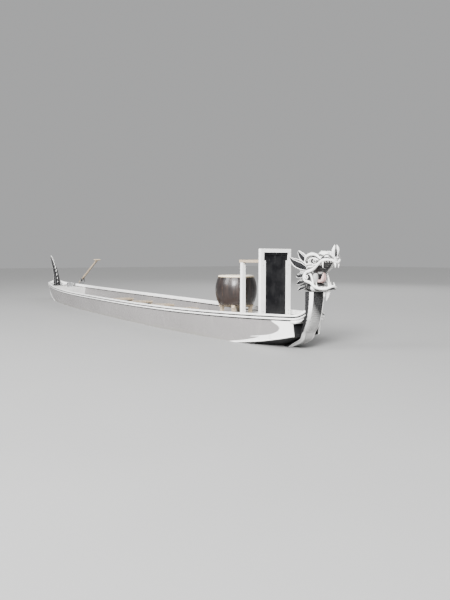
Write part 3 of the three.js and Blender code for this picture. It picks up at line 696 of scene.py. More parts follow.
def make_hull_side(side, sign):
    rings = []
    for x in hull_stations():
        heights = np.linspace(chine(x) + CHINE_LAP, side_top(x), 9)
        outer = [(x, side_half(x, z), z) for z in heights]
        inner = [(x, side_half(x, z) - SKIN, z) for z in heights[::-1]]
        rings.append(outer + inner)
    mesh = raw_mesh(f"hull_skin_{side}", [on_side(loft(rings), sign)])
    place = positions(mesh)
    mark(mesh, "rise", [(z - chine(x)) / (side_top(x) - chine(x)) for x, _, z in place])
    mark(mesh, "drop", [side_top(x) - z for x, _, z in place])
    piece(f"hull_skin_{side}", mesh, GEL, stands_for=lengths_of(f"hull_side_{side}"))


def make_hull_bottom():
    shares = np.linspace(-1, 1, 21)
    rings = []
    for x in hull_stations():
        inset = chine_half(x) - 0.002
        under = [(x, s * inset, bottom(x) + (chine(x) - bottom(x)) * abs(s)) for s in shares]
        over = [(x, s * (inset - 0.012), z + SKIN) for s, (_, _, z) in zip(shares[::-1], under[::-1])]
        rings.append(under + over)
    nodes = lengths_of("hull_bottom")
    # Black underbody: black paint that also stands in for the shade under the hull.
    piece("hull_underbody", [loft(rings)], UNDERBODY, stands_for=nodes)


def make_chine_strip(side, sign):
    rows = [(x, sign * (chine_half(x) - 0.001), chine(x) + CHINE_LAP, CHINE_BEAD) for x in hull_stations()]
    piece(f"chine_strip_{side}", [tube(rows, steps=1)], RAIL)


# Rail section: how far out from the hull's edge, height, and tone of the paint there
RAIL_SECTION = [
    (-0.02, 0.002, 1), (-0.02, 0.045, 1), (-0.016, 0.05, 1), (0.012, 0.05, 1), (0.018, 0.045, 1),
    (0.018, 0.0335, 1), (0.0172, 0.0325, 0), (0.011, 0.0312, 0), (0.011, 0.02, 0), (0.0172, 0.0188, 0),
    (0.0178, 0.0176, 1), (0.0178, 0.004, 1), (0.015, 0.0005, 1), (-0.017, 0.0005, 1),
]
# Where the rail turns in to the neck and the tail: how far past the hull, half width, and rise
RAIL_ENDS = [(0.045, 0.178, 0.005), (0.062, 0.135, 0.02), (0.066, 0.084, 0.044)]


def rail_line():
    rows = [(x, half_beam(x), rail_top(x)) for x in np.linspace(-HULL_HALF, HULL_HALF, 57)]
    top = rail_top(HULL_HALF)
    turn = smooth_line([(0, END_BEAM, 0), *RAIL_ENDS], 10)[1:]
    for past, half, rise in turn:
        rows.append((HULL_HALF + past, half, top + rise))
        rows.insert(0, (-HULL_HALF - past, half, top + rise))
    return np.array(rows)


def make_rail(side, sign):
    line = rail_line()
    rings = []
    for (x, half, top), heading in zip(line, np.gradient(line, axis=0)):
        run = unit((heading[0], heading[1], 0))
        low = top - RAIL_HIGH
        rings.append([(x - out * run[1], half + out * run[0], low + up) for out, up, _ in RAIL_SECTION])
    mesh = raw_mesh(f"rail_{side}", [on_side(loft(rings), sign)])
    mark(mesh, "tone", [tone for _ in line for _, _, tone in RAIL_SECTION])
    nodes = lengths_of(f"gunwale_rail_{side}")
    piece(f"rail_{side}", mesh, RAIL_LINED, stands_for=nodes, sharp=50)


def make_end_scrolls():
    """A thick band under the rail that tapers as it turns in to the neck, and to the tail."""
    end = HULL_HALF
    top = rail_top(end)
    rows = [(end - 0.006, END_BEAM - 0.01, top - 0.07, 0.017), (end + 0.034, 0.176, top - 0.068, 0.018),
            (end + 0.052, 0.134, top - 0.056, 0.015), (end + 0.054, 0.098, top - 0.036, 0.01),
            (end + 0.054, 0.088, top - 0.016, 0.004)]
    aft = [(-x, y, z, r) for x, y, z, r in rows[:3]]
    aft += [(-end - 0.056, 0.09, top - 0.04, 0.01), (-end - 0.06, 0.064, top - 0.02, 0.004)]
    piece("end_scroll_bands", both(tube(rows)) + both(tube(aft)), RAIL)


def make_end_posts():
    """A white bead up each end of the sides, where the skin is cut off square."""
    parts = []
    for x in (HULL_HALF, -HULL_HALF):
        heights = np.linspace(chine(x) + 0.002, side_top(x), 8)
        parts += both(tube([(x, side_half(x, z) - SKIN / 2, z, 0.0085) for z in heights], steps=1))
    piece("hull_end_beads", parts, RAIL)


def make_end_plate(name, sign):
    x = HULL_HALF - 0.008
    ring = [(s * (chine_half(x) - SKIN), bottom(x) + (chine(x) - bottom(x)) * abs(s) + SKIN - 0.002)
            for s in np.linspace(-1, 1, 17)]
    top = side_top(x) - 0.012
    ring += [(side_half(x, top) - SKIN, top), (-side_half(x, top) + SKIN, top)]
    middle = (chine(x) + top) / 2
    rings = []
    for depth, shrink in ((0.0, 1.0), (0.012, 1.0), (0.014, 0.98), (0.014, 0.86), (0.009, 0.83)):
        rings.append([(sign * (x - 0.014 + depth), y * shrink, middle + (z - middle) * shrink)
                      for y, z in ring])
    # Black end panel: black paint that also stands in for the shade on the hull's end.
    piece(name + "_panel", [loft(rings)], UNDERBODY, stands_for=[name])


# Neck and tail: a row is the back edge's x and z, the front edge's x and z, and the half width
NECK_ROWS = [
    (3.6003, bottom(3.6) - 0.0003, 3.6003, bottom(3.6) - 0.045, 0.026),
    (3.9, bottom(3.9) - 0.0005, 3.872, -0.062, 0.042),
    (4.06, bottom(4.06) - 0.0005, 4.064, 0.024, 0.062),
    (4.2005, bottom(4.2) - 0.0005, 4.215, 0.096, 0.081),
    (4.2005, 0.168, 4.262, 0.184, 0.088),
    (4.216, 0.214, 4.298, 0.24, 0.091),
    (4.246, 0.28, 4.322, 0.302, 0.093),
    (4.262, 0.36, 4.342, 0.39, 0.093),
    (4.268, 0.46, 4.356, 0.48, 0.093),
    (4.266, 0.585, 4.362, 0.585, 0.093),
]
TAIL_ROWS = [
    (-3.6003, bottom(3.6) - 0.0003, -3.6003, bottom(3.6) - 0.045, 0.026),
    (-3.9, bottom(3.9) - 0.0005, -3.925, -0.066, 0.03),
    (-4.06, bottom(4.06) - 0.0005, -4.105, 0.0, 0.04),
    (-4.2005, bottom(4.2) - 0.0005, -4.212, 0.092, 0.052),
    (-4.2005, 0.15, -4.268, 0.185, 0.06),
    (-4.2005, 0.24, -4.304, 0.265, 0.062),
    (-4.212, 0.35, -4.318, 0.362, 0.06),
    (-4.234, 0.46, -4.334, 0.45, 0.054),
    (-4.29, 0.58, -4.376, 0.546, 0.046),
    (-4.372, 0.69, -4.44, 0.64, 0.038),
    (-4.46, 0.79, -4.52, 0.738, 0.03),
    (-4.546, 0.872, -4.594, 0.83, 0.022),
    (-4.632, 0.93, -4.658, 0.898, 0.014),
    (-4.728, 0.966, -4.736, 0.955, 0.006),
]


class SweptForm:
    """A stem that sweeps up, nearly square in section. A point has a place along it and a turn round it."""
    SQUARE = 6

    def __init__(self, rows):
        self.rows = np.array(rows, float)

    def row(self, s):
        return curve_point(self.rows, s)

    def point(self, s, turn, out=0.0):
        """turn runs from 0 at port, over pi / 2 at the front, to pi at starboard."""
        bx, bz, fx, fz, half = self.row(s)
        across, ahead = rounded(turn, self.SQUARE)
        depth = math.hypot(fx - bx, fz - bz)
        share = 0.5 + ahead * (0.5 + out / max(depth, 0.01))
        return np.array([bx + (fx - bx) * share, across * (half + out), bz + (fz - bz) * share])

    def turn_across(self, across):
        """The turn at a place across the front, from -1 at starboard to 1 at port."""
        return math.acos(math.copysign(abs(across) ** (self.SQUARE / 2), across))

    def turn_ahead(self, ahead):
        """The turn at a place along the port side, from -1 at the back to 1 at the front."""
        return math.asin(math.copysign(abs(ahead) ** (self.SQUARE / 2), ahead))


def scale_plate(form, s, turn, size, thick):
    """One rounded scale on a swept form, whose free end points down and stands proud."""
    here = form.point(s, turn)
    down = unit(form.point(s - 0.02, turn) - form.point(s + 0.02, turn))
    side = unit(form.point(s, turn + 0.02) - form.point(s, turn - 0.02))
    out = unit(np.cross(side, down))
    if out @ (here - form.point(s, turn, -0.02)) < 0:
        out = -out
    rings = []
    for shrink, lift in ((1.0, -0.35), (1.0, 0.25), (0.86, 0.85), (0.45, 1.0), (0.08, 1.05)):
        ring = []
        for a in turns(14):
            across = math.cos(a)
            fall = math.sin(a)
            fall = fall * 1.05 if fall > 0 else fall * 0.75
            tilt = 0.35 + 0.65 * (fall + 0.75) / 1.8
            spot = here + side * across * size * 0.52 * shrink + down * fall * size * 0.62 * shrink
            ring.append(spot + out * thick * lift * tilt)
        rings.append(ring)
    return loft(rings)


# How far the stems' front corners are cut, and how far the pale band on each cut stands out
NECK_CUT = 0.027
NECK_BAND = 0.0035
WIDEST_HALF = 0.093
FRONT_SCALE = 0.0048
SIDE_SCALE = 0.0035
TAIL_FINS = 11


def neck_section(half, deep):
    """Half a section, from the middle of the back to that of the front: across, deep, and 1 where pale."""
    grown = min(1.0, half / 0.08)
    cut = NECK_CUT * grown
    out = NECK_BAND * grown / math.sqrt(2)
    edge = 0.004 * grown
    flank = deep - cut
    front = half - cut
    return [
        (0.0, 0.0, 0), (half * 0.5, 0.0, 0), (half - 0.008, 0.0, 0), (half, 0.008, 0),
        (half, flank * 0.35, 0), (half, flank * 0.7, 0), (half, flank - 0.0015, 0),
        (half + out * 0.2, flank - 0.0005, 1), (half + out - edge * 0.1, flank + out + edge * 0.4, 1),
        (half + out - cut * 0.5, deep + out - cut * 0.5, 1),
        (front + out + edge * 0.4, deep + out - edge * 0.1, 1), (front - 0.0005, deep + out * 0.2, 1),
        (front - 0.0015, deep, 0), (front * 0.66, deep, 0), (front * 0.33, deep, 0), (0.0, deep, 0),
    ]


def stem_light_and_shade(across, z, band=False):
    """How pale a stem's front or its band is, as painted light and shade: grey at the foot, then the front
    black and the band white higher up, and the grey up to a higher level on starboard.
    """
    start = 0.36 - 0.1 * across / WIDEST_HALF
    if band:
        return float(np.interp(z, [start - 0.14, start - 0.04], [0.44, 1.0]))
    return float(np.interp(z, [start - 0.16, start - 0.03, start + 0.07], [0.41, 0.34, 0.0]))


def make_stem(name, form, first, last, count, front):
    """A black stem, whose black sides also stand in for their shade, with a pale band on both front
    corners, and count rows of scales from first to last.
    front is how many scales stand across the widest rows."""
    rings = []
    tones = []
    for s in np.linspace(0, len(form.rows) - 1, 120):
        bx, bz, fx, fz, half = form.row(s)
        deep = math.hypot(fx - bx, fz - bz)
        section = neck_section(half, deep)
        ring = []
        for y, d, pale in section + [(-y, d, pale) for y, d, pale in section[-2:0:-1]]:
            z = bz + (fz - bz) * d / deep
            ring.append((bx + (fx - bx) * d / deep, y, z))
            on_front = d >= deep * 0.999
            # Painted light and shade on the front and the bands, by height and side; the sides are black.
            tones.append(stem_light_and_shade(y, z, band=pale) if pale or on_front else 0.0)
        rings.append(ring)
    mesh = raw_mesh(f"{name}_stem", [loft(rings)])
    mark(mesh, "tone", tones)
    mark(mesh, "relief", [0.5] * len(tones))
    piece(f"{name}_stem", mesh, CARVED, stands_for=[name], sharp=60)

    scales = []
    tones = []

    def add_scale(s, turn, size, thick, tone):
        part = scale_plate(form, s, turn, size, thick)
        scales.append(part)
        tones.extend([tone] * len(part[0]))

    for r in range(count):
        s = first + (last - first) * r / (count - 1)
        _, _, _, front_z, half = form.row(s)
        size = min(0.023, 0.016 + 0.12 * half)
        odd = r % 2
        shift = 0.5 * (1 - odd)
        for c in range(front - 1 + odd):
            across = (1 - 0.041 / max(half, 0.08)) * (-1 + 2 * (c + shift) / (front - 1))
            # The front scales take the same painted light and shade.
            tone = 0.01 + stem_light_and_shade(across * half, front_z)
            add_scale(s, form.turn_across(across), size, FRONT_SCALE, tone)
        for c in range(2 + odd):
            turn = form.turn_ahead(-0.62 + 0.84 * (c + shift) / 2)
            for place in (turn, math.pi - turn):
                add_scale(s, place, size, SIDE_SCALE, 0.0)
    mesh = raw_mesh(f"{name}_scales", scales)
    mark(mesh, "tone", tones)
    mark_relief(mesh, 2, 0.004)
    piece(f"{name}_scales", mesh, SCALES, sharp=60)


def make_neck():
    make_stem("neck", SweptForm(NECK_ROWS), 4.2, 8.8, 22, front=6)


def make_tail():
    form = SweptForm(TAIL_ROWS)
    make_stem("tail", form, 4.6, 12.4, 36, front=3)
    fins = []
    for r in range(TAIL_FINS):
        s = 5.4 + 7.0 * r / (TAIL_FINS - 1)
        root = form.point(s, 1.5 * math.pi)
        up = unit(form.point(s + 0.05, 1.5 * math.pi) - form.point(s - 0.05, 1.5 * math.pi))
        back = unit(root - form.point(s, 0.5 * math.pi))
        long = 0.03 + 0.028 * math.sin(math.pi * (r + 0.5) / TAIL_FINS)
        places = (root - back * 0.008, root + back * long * 0.45 + up * long * 0.35,
                  root + back * long * 0.75 + up * long * 0.95)
        radii = (0.01, 0.008, 0.002)
        fins.append(tube([(*place, radius) for place, radius in zip(places, radii)], sides=8))
    piece("tail_fins", fins, RAIL)


# Dragon's head
def scroll(centre, radii, y, start, thick, out, count=15):
    """A spiral band of one turn in a plane along the boat, from its first radius to its last."""
    rows = []
    for t in np.linspace(0, 1, count):
        a = start + 2 * math.pi * t
        r = radii[0] + (radii[1] - radii[0]) * t
        rows.append((centre[0] + r * math.cos(a), y + out * t, centre[1] + r * math.sin(a),
                     thick * (1 - 0.45 * t)))
    return tube(rows, steps=2)


def fang(base, tip, radius, bend=0.004):
    """A tooth, bent aft by bend at its middle."""
    base = np.array(base, float)
    tip = np.array(tip, float)
    middle = (base + tip) / 2 - np.array([bend, 0, 0])
    return tube([(*base, radius), (*middle, radius * 0.72), (*tip, radius * 0.12)])


# Voxel size and passes of smoothing of a melted skin, then the passes and the depth of its relief
HEAD_FINENESS = (0.0034, 3, (14, 0.0048))
HORN_FINENESS = (0.002, 2, (8, 0.0022))
BEARD_FINENESS = (0.0022, 2, (8, 0.0026))


def carve(name, stands_for, toned, fineness=HEAD_FINENESS):
    """Melts forms into one carved piece. A row of toned is a tone and its parts."""
    voxel, relax, relief = fineness
    mesh = melted([part for _, parts in toned for part in parts], voxel, relax)
    mark_tone(mesh, toned)
    mark_relief(mesh, *relief)
    piece(name, mesh, CARVED, stands_for=[stands_for], sharp=75)


UPPER_LIP = mm([
    (4340, 119, 684, 13), (4303, 121, 697, 14.5), (4291, 122, 735, 15.5), (4316, 121, 774, 15.5),
    (4362, 117, 789, 14.5), (4400, 111, 806, 14), (4440, 103, 842, 14), (4480, 94, 878, 14),
    (4520, 83, 892, 14), (4552, 67, 895, 13.5), (4578, 48, 889, 13), (4593, 26, 877, 12.5),
    (4599, 0, 869, 12.5),
])
LOWER_LIP = mm([
    (4338, 117, 684, 12), (4368, 111, 676, 12.5), (4390, 106, 656, 12.5), (4418, 100, 637, 12),
    (4462, 90, 626, 12), (4505, 77, 624, 12), (4532, 56, 629, 12), (4546, 28, 640, 11.5),
    (4551, 0, 646, 11.5),
])
BROW = mm([
    (4290, 112, 832, 9), (4301, 121, 885, 13), (4334, 125, 925, 15), (4384, 122, 943, 15.5),
    (4434, 112, 938, 13.5), (4476, 100, 906, 9),
])


def beside(rows, side, radius, gap=0.001, out=0.002):
    """A thin line that runs beside a band, on its left for side 1 and its right for side -1."""
    line = np.array(rows, float)
    runs = np.gradient(line[:, [0, 2]], axis=0)
    made = []
    for (x, y, z, r), (run_x, run_z) in zip(line, runs):
        long = max(math.hypot(run_x, run_z), 1e-6)
        reach = side * (r + radius * 0.5 + gap) / long
        made.append((x - run_z * reach, y + out if y > 0.01 else y, z + run_x * reach, radius))
    return made


def loop_of(half_rows):
    """A line round both sides, from rows on the port side that end on the centre line."""
    other = [(x, -y, z, r) for x, y, z, r in half_rows[:-1]]
    return [*half_rows, *other[::-1]]


def make_upper_head():
    skull = [upright_form(mm([
        (4158, 680, 805, 50), (4185, 620, 868, 84), (4240, 590, 918, 108), (4305, 598, 944, 115),
        (4345, 700, 948, 113), (4390, 775, 944, 106), (4427, 822, 938, 97), (4460, 858, 942, 86),
        (4503, 884, 930, 78), (4539, 888, 914, 74), (4572, 876, 900, 58), (4592, 860, 882, 34),
    ]))]
    pale = [tube(loop_of(UPPER_LIP), sides=12)]
    pale += both(tube(BROW))
    pale += band([
        (4358, 124, 848, 4), (4356, 129, 876, 6.2), (4372, 132, 896, 6.8), (4402, 130, 906, 6.6),
        (4438, 122, 903, 5.6), (4464, 111, 890, 4),
    ])
    pale += band([(4388, 119, 857, 4), (4412, 122, 847, 5.5), (4442, 118, 849, 5.5), (4466, 108, 866, 4)])
    pale += band([
        (4322, 120, 812, 6), (4352, 123, 827, 8.5), (4392, 120, 829, 8.5), (4422, 112, 846, 7),
        (4452, 103, 872, 4),
    ])
    pale += both(ball((4.456, 0.03, 0.944), (0.06, 0.036, 0.031)))
    pale += band([(4514, 82, 914, 3), (4532, 81, 925, 5.8), (4552, 72, 924, 5.5), (4568, 60, 914, 4)])
    pale += both(ball((4.545, 0.03, 0.914), (0.034, 0.024, 0.02)))
    pale += both(scroll((4.328, 0.732), (0.024, 0.006), 0.124, 0.85 * math.pi, 0.0085, out=0.006))
    pale += [tube([(4.442, 0, 0.948, 0.01), (4.476, 0, 0.958, 0.011), (4.521, 0, 0.938, 0.01)])]
    shade = [upright_form(mm([
        (4350, 738, 772, 82), (4413, 798, 830, 88), (4454, 840, 866, 80), (4503, 872, 892, 70),
        (4550, 874, 890, 56), (4578, 862, 878, 34),
    ]))]
    shade += both(ball((4.418, 0.101, 0.88), (0.056, 0.021, 0.036)))
    shade += band([
        (4478, 86, 902, 5), (4500, 84, 922, 8), (4530, 75, 937, 9.2), (4560, 61, 934, 8.2),
        (4584, 43, 914, 5),
    ])
    shade += both(ball((4.546, 0.068, 0.914), (0.034, 0.013, 0.0075)))
    for rows, side, radius in ((UPPER_LIP[1:11], 1, 0.0058), (BROW[1:], -1, 0.0078), (BROW[:5], 1, 0.004)):
        shade += both(tube(beside(rows, side, radius)))
    shade += band([
        (4398, 80, 948, 4.5), (4430, 70, 940, 5), (4472, 70, 928, 5.5), (4510, 58, 930, 5.5),
        (4526, 30, 934, 5),
    ])
    shade += band([(4326, 122, 838, 4.5), (4360, 123, 843, 5.5), (4398, 119, 843, 4.5)])
    # The throat is painted black, which also stands in for the shade inside the mouth.
    throat = [ball((4.338, 0, 0.715), (0.045, 0.09, 0.07))]
    cheek = both(ball((4.364, 0.052, 0.72), (0.032, 0.034, 0.064)))
    shade += both(ball((4.338, 0.099, 0.735), (0.034, 0.013, 0.052)))
    jowl = [upright_form(mm([
        (4160, 680, 735, 53), (4185, 618, 745, 87), (4240, 588, 750, 111), (4305, 596, 750, 118),
        (4330, 660, 740, 112),
    ]))]
    folds = []
    for x, z in ((4.42, 0.812), (4.443, 0.834), (4.468, 0.852), (4.494, 0.866), (4.521, 0.873)):
        folds.append(tube([(x - 0.01, 0.07, z, 0.004), (x + 0.008, 0, z + 0.001, 0.005),
                           (x - 0.01, -0.07, z, 0.004)]))
    carve("dragon_head", "upper_head", [
        (0.95, skull), (1.0, pale), (0.0, shade), (0.0, throat), (0.42, cheek), (0.02, jowl), (0.1, folds),
    ])


def make_lower_jaw():
    core = [upright_form(mm([
        (4312, 586, 668, 94), (4360, 590, 656, 94), (4427, 602, 632, 84), (4490, 607, 626, 70),
        (4532, 614, 634, 48), (4546, 628, 646, 26),
    ]))]
    pale = [tube(loop_of(LOWER_LIP), sides=12)]
    pale += band([(4330, 104, 756, 6), (4364, 108, 750, 9), (4386, 107, 704, 9), (4396, 104, 660, 8)])
    pale += [upright_form([(4.352, 0.587, 0.662, 0.0975), (4.391, 0.593, 0.65, 0.093)])]
    # The mouth's floor is painted near black, which also stands in for the shade inside the mouth.
    floor = [upright_form(mm([
        (4360, 630, 668, 78), (4420, 608, 640, 80), (4490, 608, 632, 66), (4534, 616, 640, 42),
    ]))]
    ridges = []
    for x in (4.42, 4.446, 4.472, 4.498):
        ridges.append(tube([(x, 0.066, 0.638, 0.004), (x + 0.012, 0, 0.636, 0.004),
                            (x, -0.066, 0.638, 0.004)]))
    ink = both(tube(beside(LOWER_LIP[:7], -1, 0.0036)))
    carve("dragon_jaw", "lower_jaw", [(0.02, core), (1.0, pale), (0.04, floor), (0.3, ridges), (0.0, ink)])


TOOTH = worn_paint("tooth_white", (0.90, 0.89, 0.85), (0.35, 0.30, 0.22), 0.3, wear=0.2, Coat_Weight=0.4)


def make_teeth():
    """Small teeth along each lip, and two pairs of fangs in each jaw."""
    upper = []
    for x, y, z, _ in smooth_line(UPPER_LIP, 120)[66:112:7]:
        upper += both(fang((x - 0.002, y - 0.008, z - 0.006), (x, y - 0.012, z - 0.026), 0.0056))
    upper += both(fang((4.59, 0.021, 0.86), (4.594, 0.02, 0.818), 0.0095, bend=-0.004))
    upper += both(fang((4.5, 0.086, 0.872), (4.499, 0.082, 0.818), 0.0095))
    piece("upper_teeth", upper, TOOTH, sharp=60)
    lower = []
    for x, y, z, _ in smooth_line(LOWER_LIP, 100)[44:92:11]:
        lower += both(fang((x, y - 0.006, z + 0.004), (x - 0.002, y - 0.008, z + 0.023), 0.0052))
    lower += both(fang((4.532, 0.036, 0.636), (4.522, 0.035, 0.682), 0.0085, bend=-0.005))
    lower += both(fang((4.434, 0.093, 0.634), (4.429, 0.094, 0.684), 0.0072))
    piece("lower_teeth", lower, TOOTH, sharp=60)


def make_tongue():
    """A curled tongue with a groove. A row is x, z, half width and half depth."""
    line = smooth_line(mm([
        (4332, 708, 40, 20), (4364, 693, 41, 18), (4396, 685, 40, 16), (4420, 696, 36, 13),
        (4431, 724, 30, 10), (4433, 752, 19, 7), (4430, 770, 6, 4),
    ]), 40)
    rings = []
    for i, (x, z, wide, deep) in enumerate(line):
        before = line[max(i - 1, 0)]
        after = line[min(i + 1, len(line) - 1)]
        lean = math.atan2(after[1] - before[1], after[0] - before[0])
        ring = []
        for a in turns(28):
            across = math.cos(a)
            up = math.sin(a)
            if up > 0:
                up -= 0.55 * math.exp(-(across / 0.16) ** 2)
            ring.append((x - up * deep * math.sin(lean), wide * across, z + up * deep * math.cos(lean)))
        rings.append(ring)
    mesh = raw_mesh("dragon_tongue", [loft(rings)])
    across = abs(positions(mesh)[:, 1])
    mark(mesh, "tone", np.interp(across, [0, 0.006, 0.02, 0.04], [0.1, 0.6, 0.9, 0.6]))
    mark_relief(mesh, 3, 0.004)
    piece("dragon_tongue", mesh, TONGUE, stands_for=["tongue"], sharp=75)


EYE_PLACE = (4.426, 0.109, 0.879)
EYE_RADIUS = 0.025


def make_eye(side, sign):
    eye = ball(EYE_PLACE, (EYE_RADIUS,) * 3, sides=32, rows=22)
    mesh = raw_mesh(f"dragon_eye_{side}", [on_side(eye, sign)])
    gaze = unit((0.5, sign * 0.86, 0.02))
    centre = np.array([EYE_PLACE[0], sign * EYE_PLACE[1], EYE_PLACE[2]])
    mark(mesh, "gaze", [math.acos(max(-1, min(1, unit(p - centre) @ gaze))) for p in positions(mesh)])
    piece(f"dragon_eye_{side}", mesh, EYE, stands_for=[f"eye_{side}"], sharp=80)


def make_nose_horn():
    parts = [tube([(4.556, 0, 0.9, 0.022), (4.561, 0, 0.922, 0.02), (4.564, 0, 0.936, 0.014)])]
    web = [ball((4.57, 0, 0.952), (0.013, 0.026, 0.048))]
    prong = mm([(4557, 12, 912, 18), (4566, 22, 945, 17.5), (4575, 28, 976, 15.5), (4579, 24, 1003, 11.5),
                (4577, 13, 1027, 3.4)])
    for sign in (1, -1):
        parts.append(tube([(x, sign * y, z, r) for x, y, z, r in prong], sides=14, steps=8))
        for turn in range(3):
            x = 4.567 + 0.0045 * turn
            y = sign * (0.023 + 0.0022 * turn)
            z = 0.95 + 0.018 * turn
            r = 0.0172 - 0.0016 * turn
            ring = [(x + r * math.cos(a), y + r * math.sin(a), z + 0.003 * math.cos(a), 0.0025)
                    for a in np.linspace(0, 2 * math.pi, 13)]
            parts.append(tube(ring, sides=6, steps=2))
    carve("nose_horn_forked", "nose_horn", [(1.0, parts), (0.0, web)], HORN_FINENESS)


def round_section(upper):
    """A whole section, from its upper half. A row is a place across, a height and a tone."""
    return upper + [(across, -high, tone) for across, high, tone in upper[-2:0:-1]]


LOCK_SECTION = round_section([
    (-1.0, 0.0, 1), (-0.985, 0.62, 1), (-0.93, 0.9, 1), (-0.87, 0.66, 1), (-0.845, 0.36, 0),
    (-0.62, 0.52, 0), (-0.57, 0.82, 1), (-0.49, 0.82, 1), (-0.44, 0.52, 0), (-0.1, 0.86, 0),
    (0.3, 0.86, 0), (0.64, 0.6, 0), (0.845, 0.36, 0), (0.87, 0.66, 1), (0.93, 0.9, 1), (0.985, 0.62, 1),
    (1.0, 0.0, 1),
])
LOCK_THICK = 0.011


def lock(rows):
    """A lock of hair, flat against the head's side, and its tones. A row is x, y, z and half width."""
    line = smooth_line(rows, (len(rows) - 1) * 9 + 1)
    rings = []
    for spot, tangent in zip(line, np.gradient(line[:, :3], axis=0)):
        wide = spot[3]
        run = unit(tangent)
        out = unit(np.array([0.0, 1.0, 0.0]) - run * run[1])
        up = np.cross(run, out)
        deep = LOCK_THICK * min(1.0, 0.35 + wide / 0.02)
        rings.append([spot[:3] + up * across * wide + out * high * deep
                      for across, high, _ in LOCK_SECTION])
    return loft(rings), [tone for _ in line for _, _, tone in LOCK_SECTION]


# Each lock of the mane: rows of x, y, z and half width, from its root to its tip
MANE_LOCKS = [
    [(4330, 112, 872, 22), (4295, 130, 905, 36), (4262, 142, 940, 30), (4236, 150, 980, 3)],
    [(4315, 114, 815, 26), (4255, 134, 842, 44), (4190, 150, 868, 38), (4118, 158, 914, 3)],
    [(4290, 114, 750, 18), (4255, 130, 745, 26), (4222, 138, 736, 18), (4195, 142, 740, 3)],
    [(4285, 112, 690, 18), (4250, 128, 680, 24), (4222, 134, 668, 18), (4200, 138, 664, 3)],
    [(4290, 108, 635, 14), (4262, 122, 622, 20), (4236, 130, 606, 14), (4222, 132, 596, 3)],
]


def make_mane(side, sign):
    parts = []
    tones = []
    for rows in MANE_LOCKS:
        part, part_tones = lock(mm(rows))
        parts.append(on_side(part, sign))
        tones += part_tones
    mesh = raw_mesh(f"mane_locks_{side}", parts)
    mark(mesh, "tone", tones)
    piece(f"mane_locks_{side}", mesh, LOCKS, stands_for=[f"mane_{side}"], sharp=75)


def make_beard():
    parts = [tube(mm([(4484, 0, 604, 26), (4484, 0, 578, 23), (4481, 0, 550, 16), (4475, 0, 524, 8),
                      (4466, 0, 503, 2)]), sides=14)]
    tuft = mm([(4472, 18, 604, 17), (4470, 26, 578, 12), (4466, 28, 554, 7), (4460, 28, 538, 2)])
    for sign in (1, -1):
        parts.append(tube([(x, sign * y, z, r) for x, y, z, r in tuft]))
        for k in range(3):
            y = sign * (0.006 + 0.009 * k)
            parts.append(tube([
                (4.506 - 0.006 * k, y, 0.6, 0.004), (4.503 - 0.006 * k, y * 0.9, 0.572, 0.004),
                (4.492 - 0.006 * k, y * 0.5, 0.538, 0.0025),
            ], sides=8))
    carve("beard_tuft", "beard", [(0.97, parts)], BEARD_FINENESS)


# Benches, foot rests and inner timbers
def finish_nodes():
    """Gives the frame's own nodes their finish and softer edges."""
    rows = [
        (UNDERBODY, 0.006, ["keel_strip"]),
        (KEELSON_WOOD, 0.005, ["keelson", "drum_stand"]),
        (DECK, 0.003, ["bow_deck", "stern_deck", "bow_bulkhead", "stern_bulkhead"]),
        (PANEL, 0.002, ["seat_panel"]),
        (STEEL, 0.002, ["steering_arm", "oarlock_fork", "oar_saddle"]),
        (BENCH, 0.007, ["seat_board", *(f"thwart_{i}" for i in ROWS)]),
        (KEELSON_WOOD, 0.006, [f"foot_rest_{i}" for i in ROWS]),
        (SEAT_WHITE, 0.004, ["seat_back_rail", *SEAT_POSTS]),
    ]
    for finish, width, names in rows:
        for name in names:
            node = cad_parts[name]
            node.data.materials.clear()
            node.data.materials.append(finish)
            soften_edges(node, width)


# Studs: radius and height. ODD_WAY is a direction that no stud points in.
SCREW = (0.006, 0.0022)
SEAT_BOLT = (0.0065, 0.003)
ARM_BOLT = (0.008, 0.005)
TACK = (0.0062, 0.0042)
SMALL_TACK = (0.0055, 0.004)
ODD_WAY = (0.31, 0.52, 0.79)


def stud(place, out, radius, height):
    """A domed bolt or tack head that stands on a surface."""
    place = np.array(place, float)
    out = unit(out)
    first = unit(np.cross(out, ODD_WAY))
    second = np.cross(out, first)
    rings = []
    for sunk, lean in ((0.3, 0), (0, 0), (0, 30), (0, 55), (0, 78)):
        a = math.radians(lean)
        up = height * (math.sin(a) - sunk)
        rings.append([place + out * up + radius * math.cos(a) * (math.cos(b) * first + math.sin(b) * second)
                      for b in turns(10)])
    return loft(rings)


def make_bench_fittings():
    """A cleat under each end of a bench, and two screws over it."""
    cleats = []
    screws = []
    for i in ROWS:
        low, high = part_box(f"thwart_{i}")
        for sign in (1, -1):
            y = sign * (min(abs(high.y), abs(low.y)) - 0.03)
            for x in (low.x + 0.025, high.x - 0.025):
                screws.append(stud((x, y, high.z), UP, *SCREW))
            foot = low.z - 0.034
            top = low.z - 0.001
            rings = []
            for x in (low.x + 0.012, high.x - 0.012):
                at_foot, at_top = (side_half(x, z) - SKIN - 0.0005 for z in (foot, top))
                section = ((at_foot, foot), (at_top, top), (at_top - 0.024, top), (at_foot - 0.012, foot))
                rings.append([(x, sign * half, z) for half, z in section])
            cleats.append(loft(rings))
    soften_edges(piece("bench_cleats", cleats, KEELSON_WOOD), 0.003)
    piece("bench_screws", screws, STEEL)


# Drummer's seat: how far out the inner faces of its legs and stiles are, less a small gap
LEG_INSIDE = 0.141
STILE_INSIDE = 0.163
SEAT_HALF = 0.203


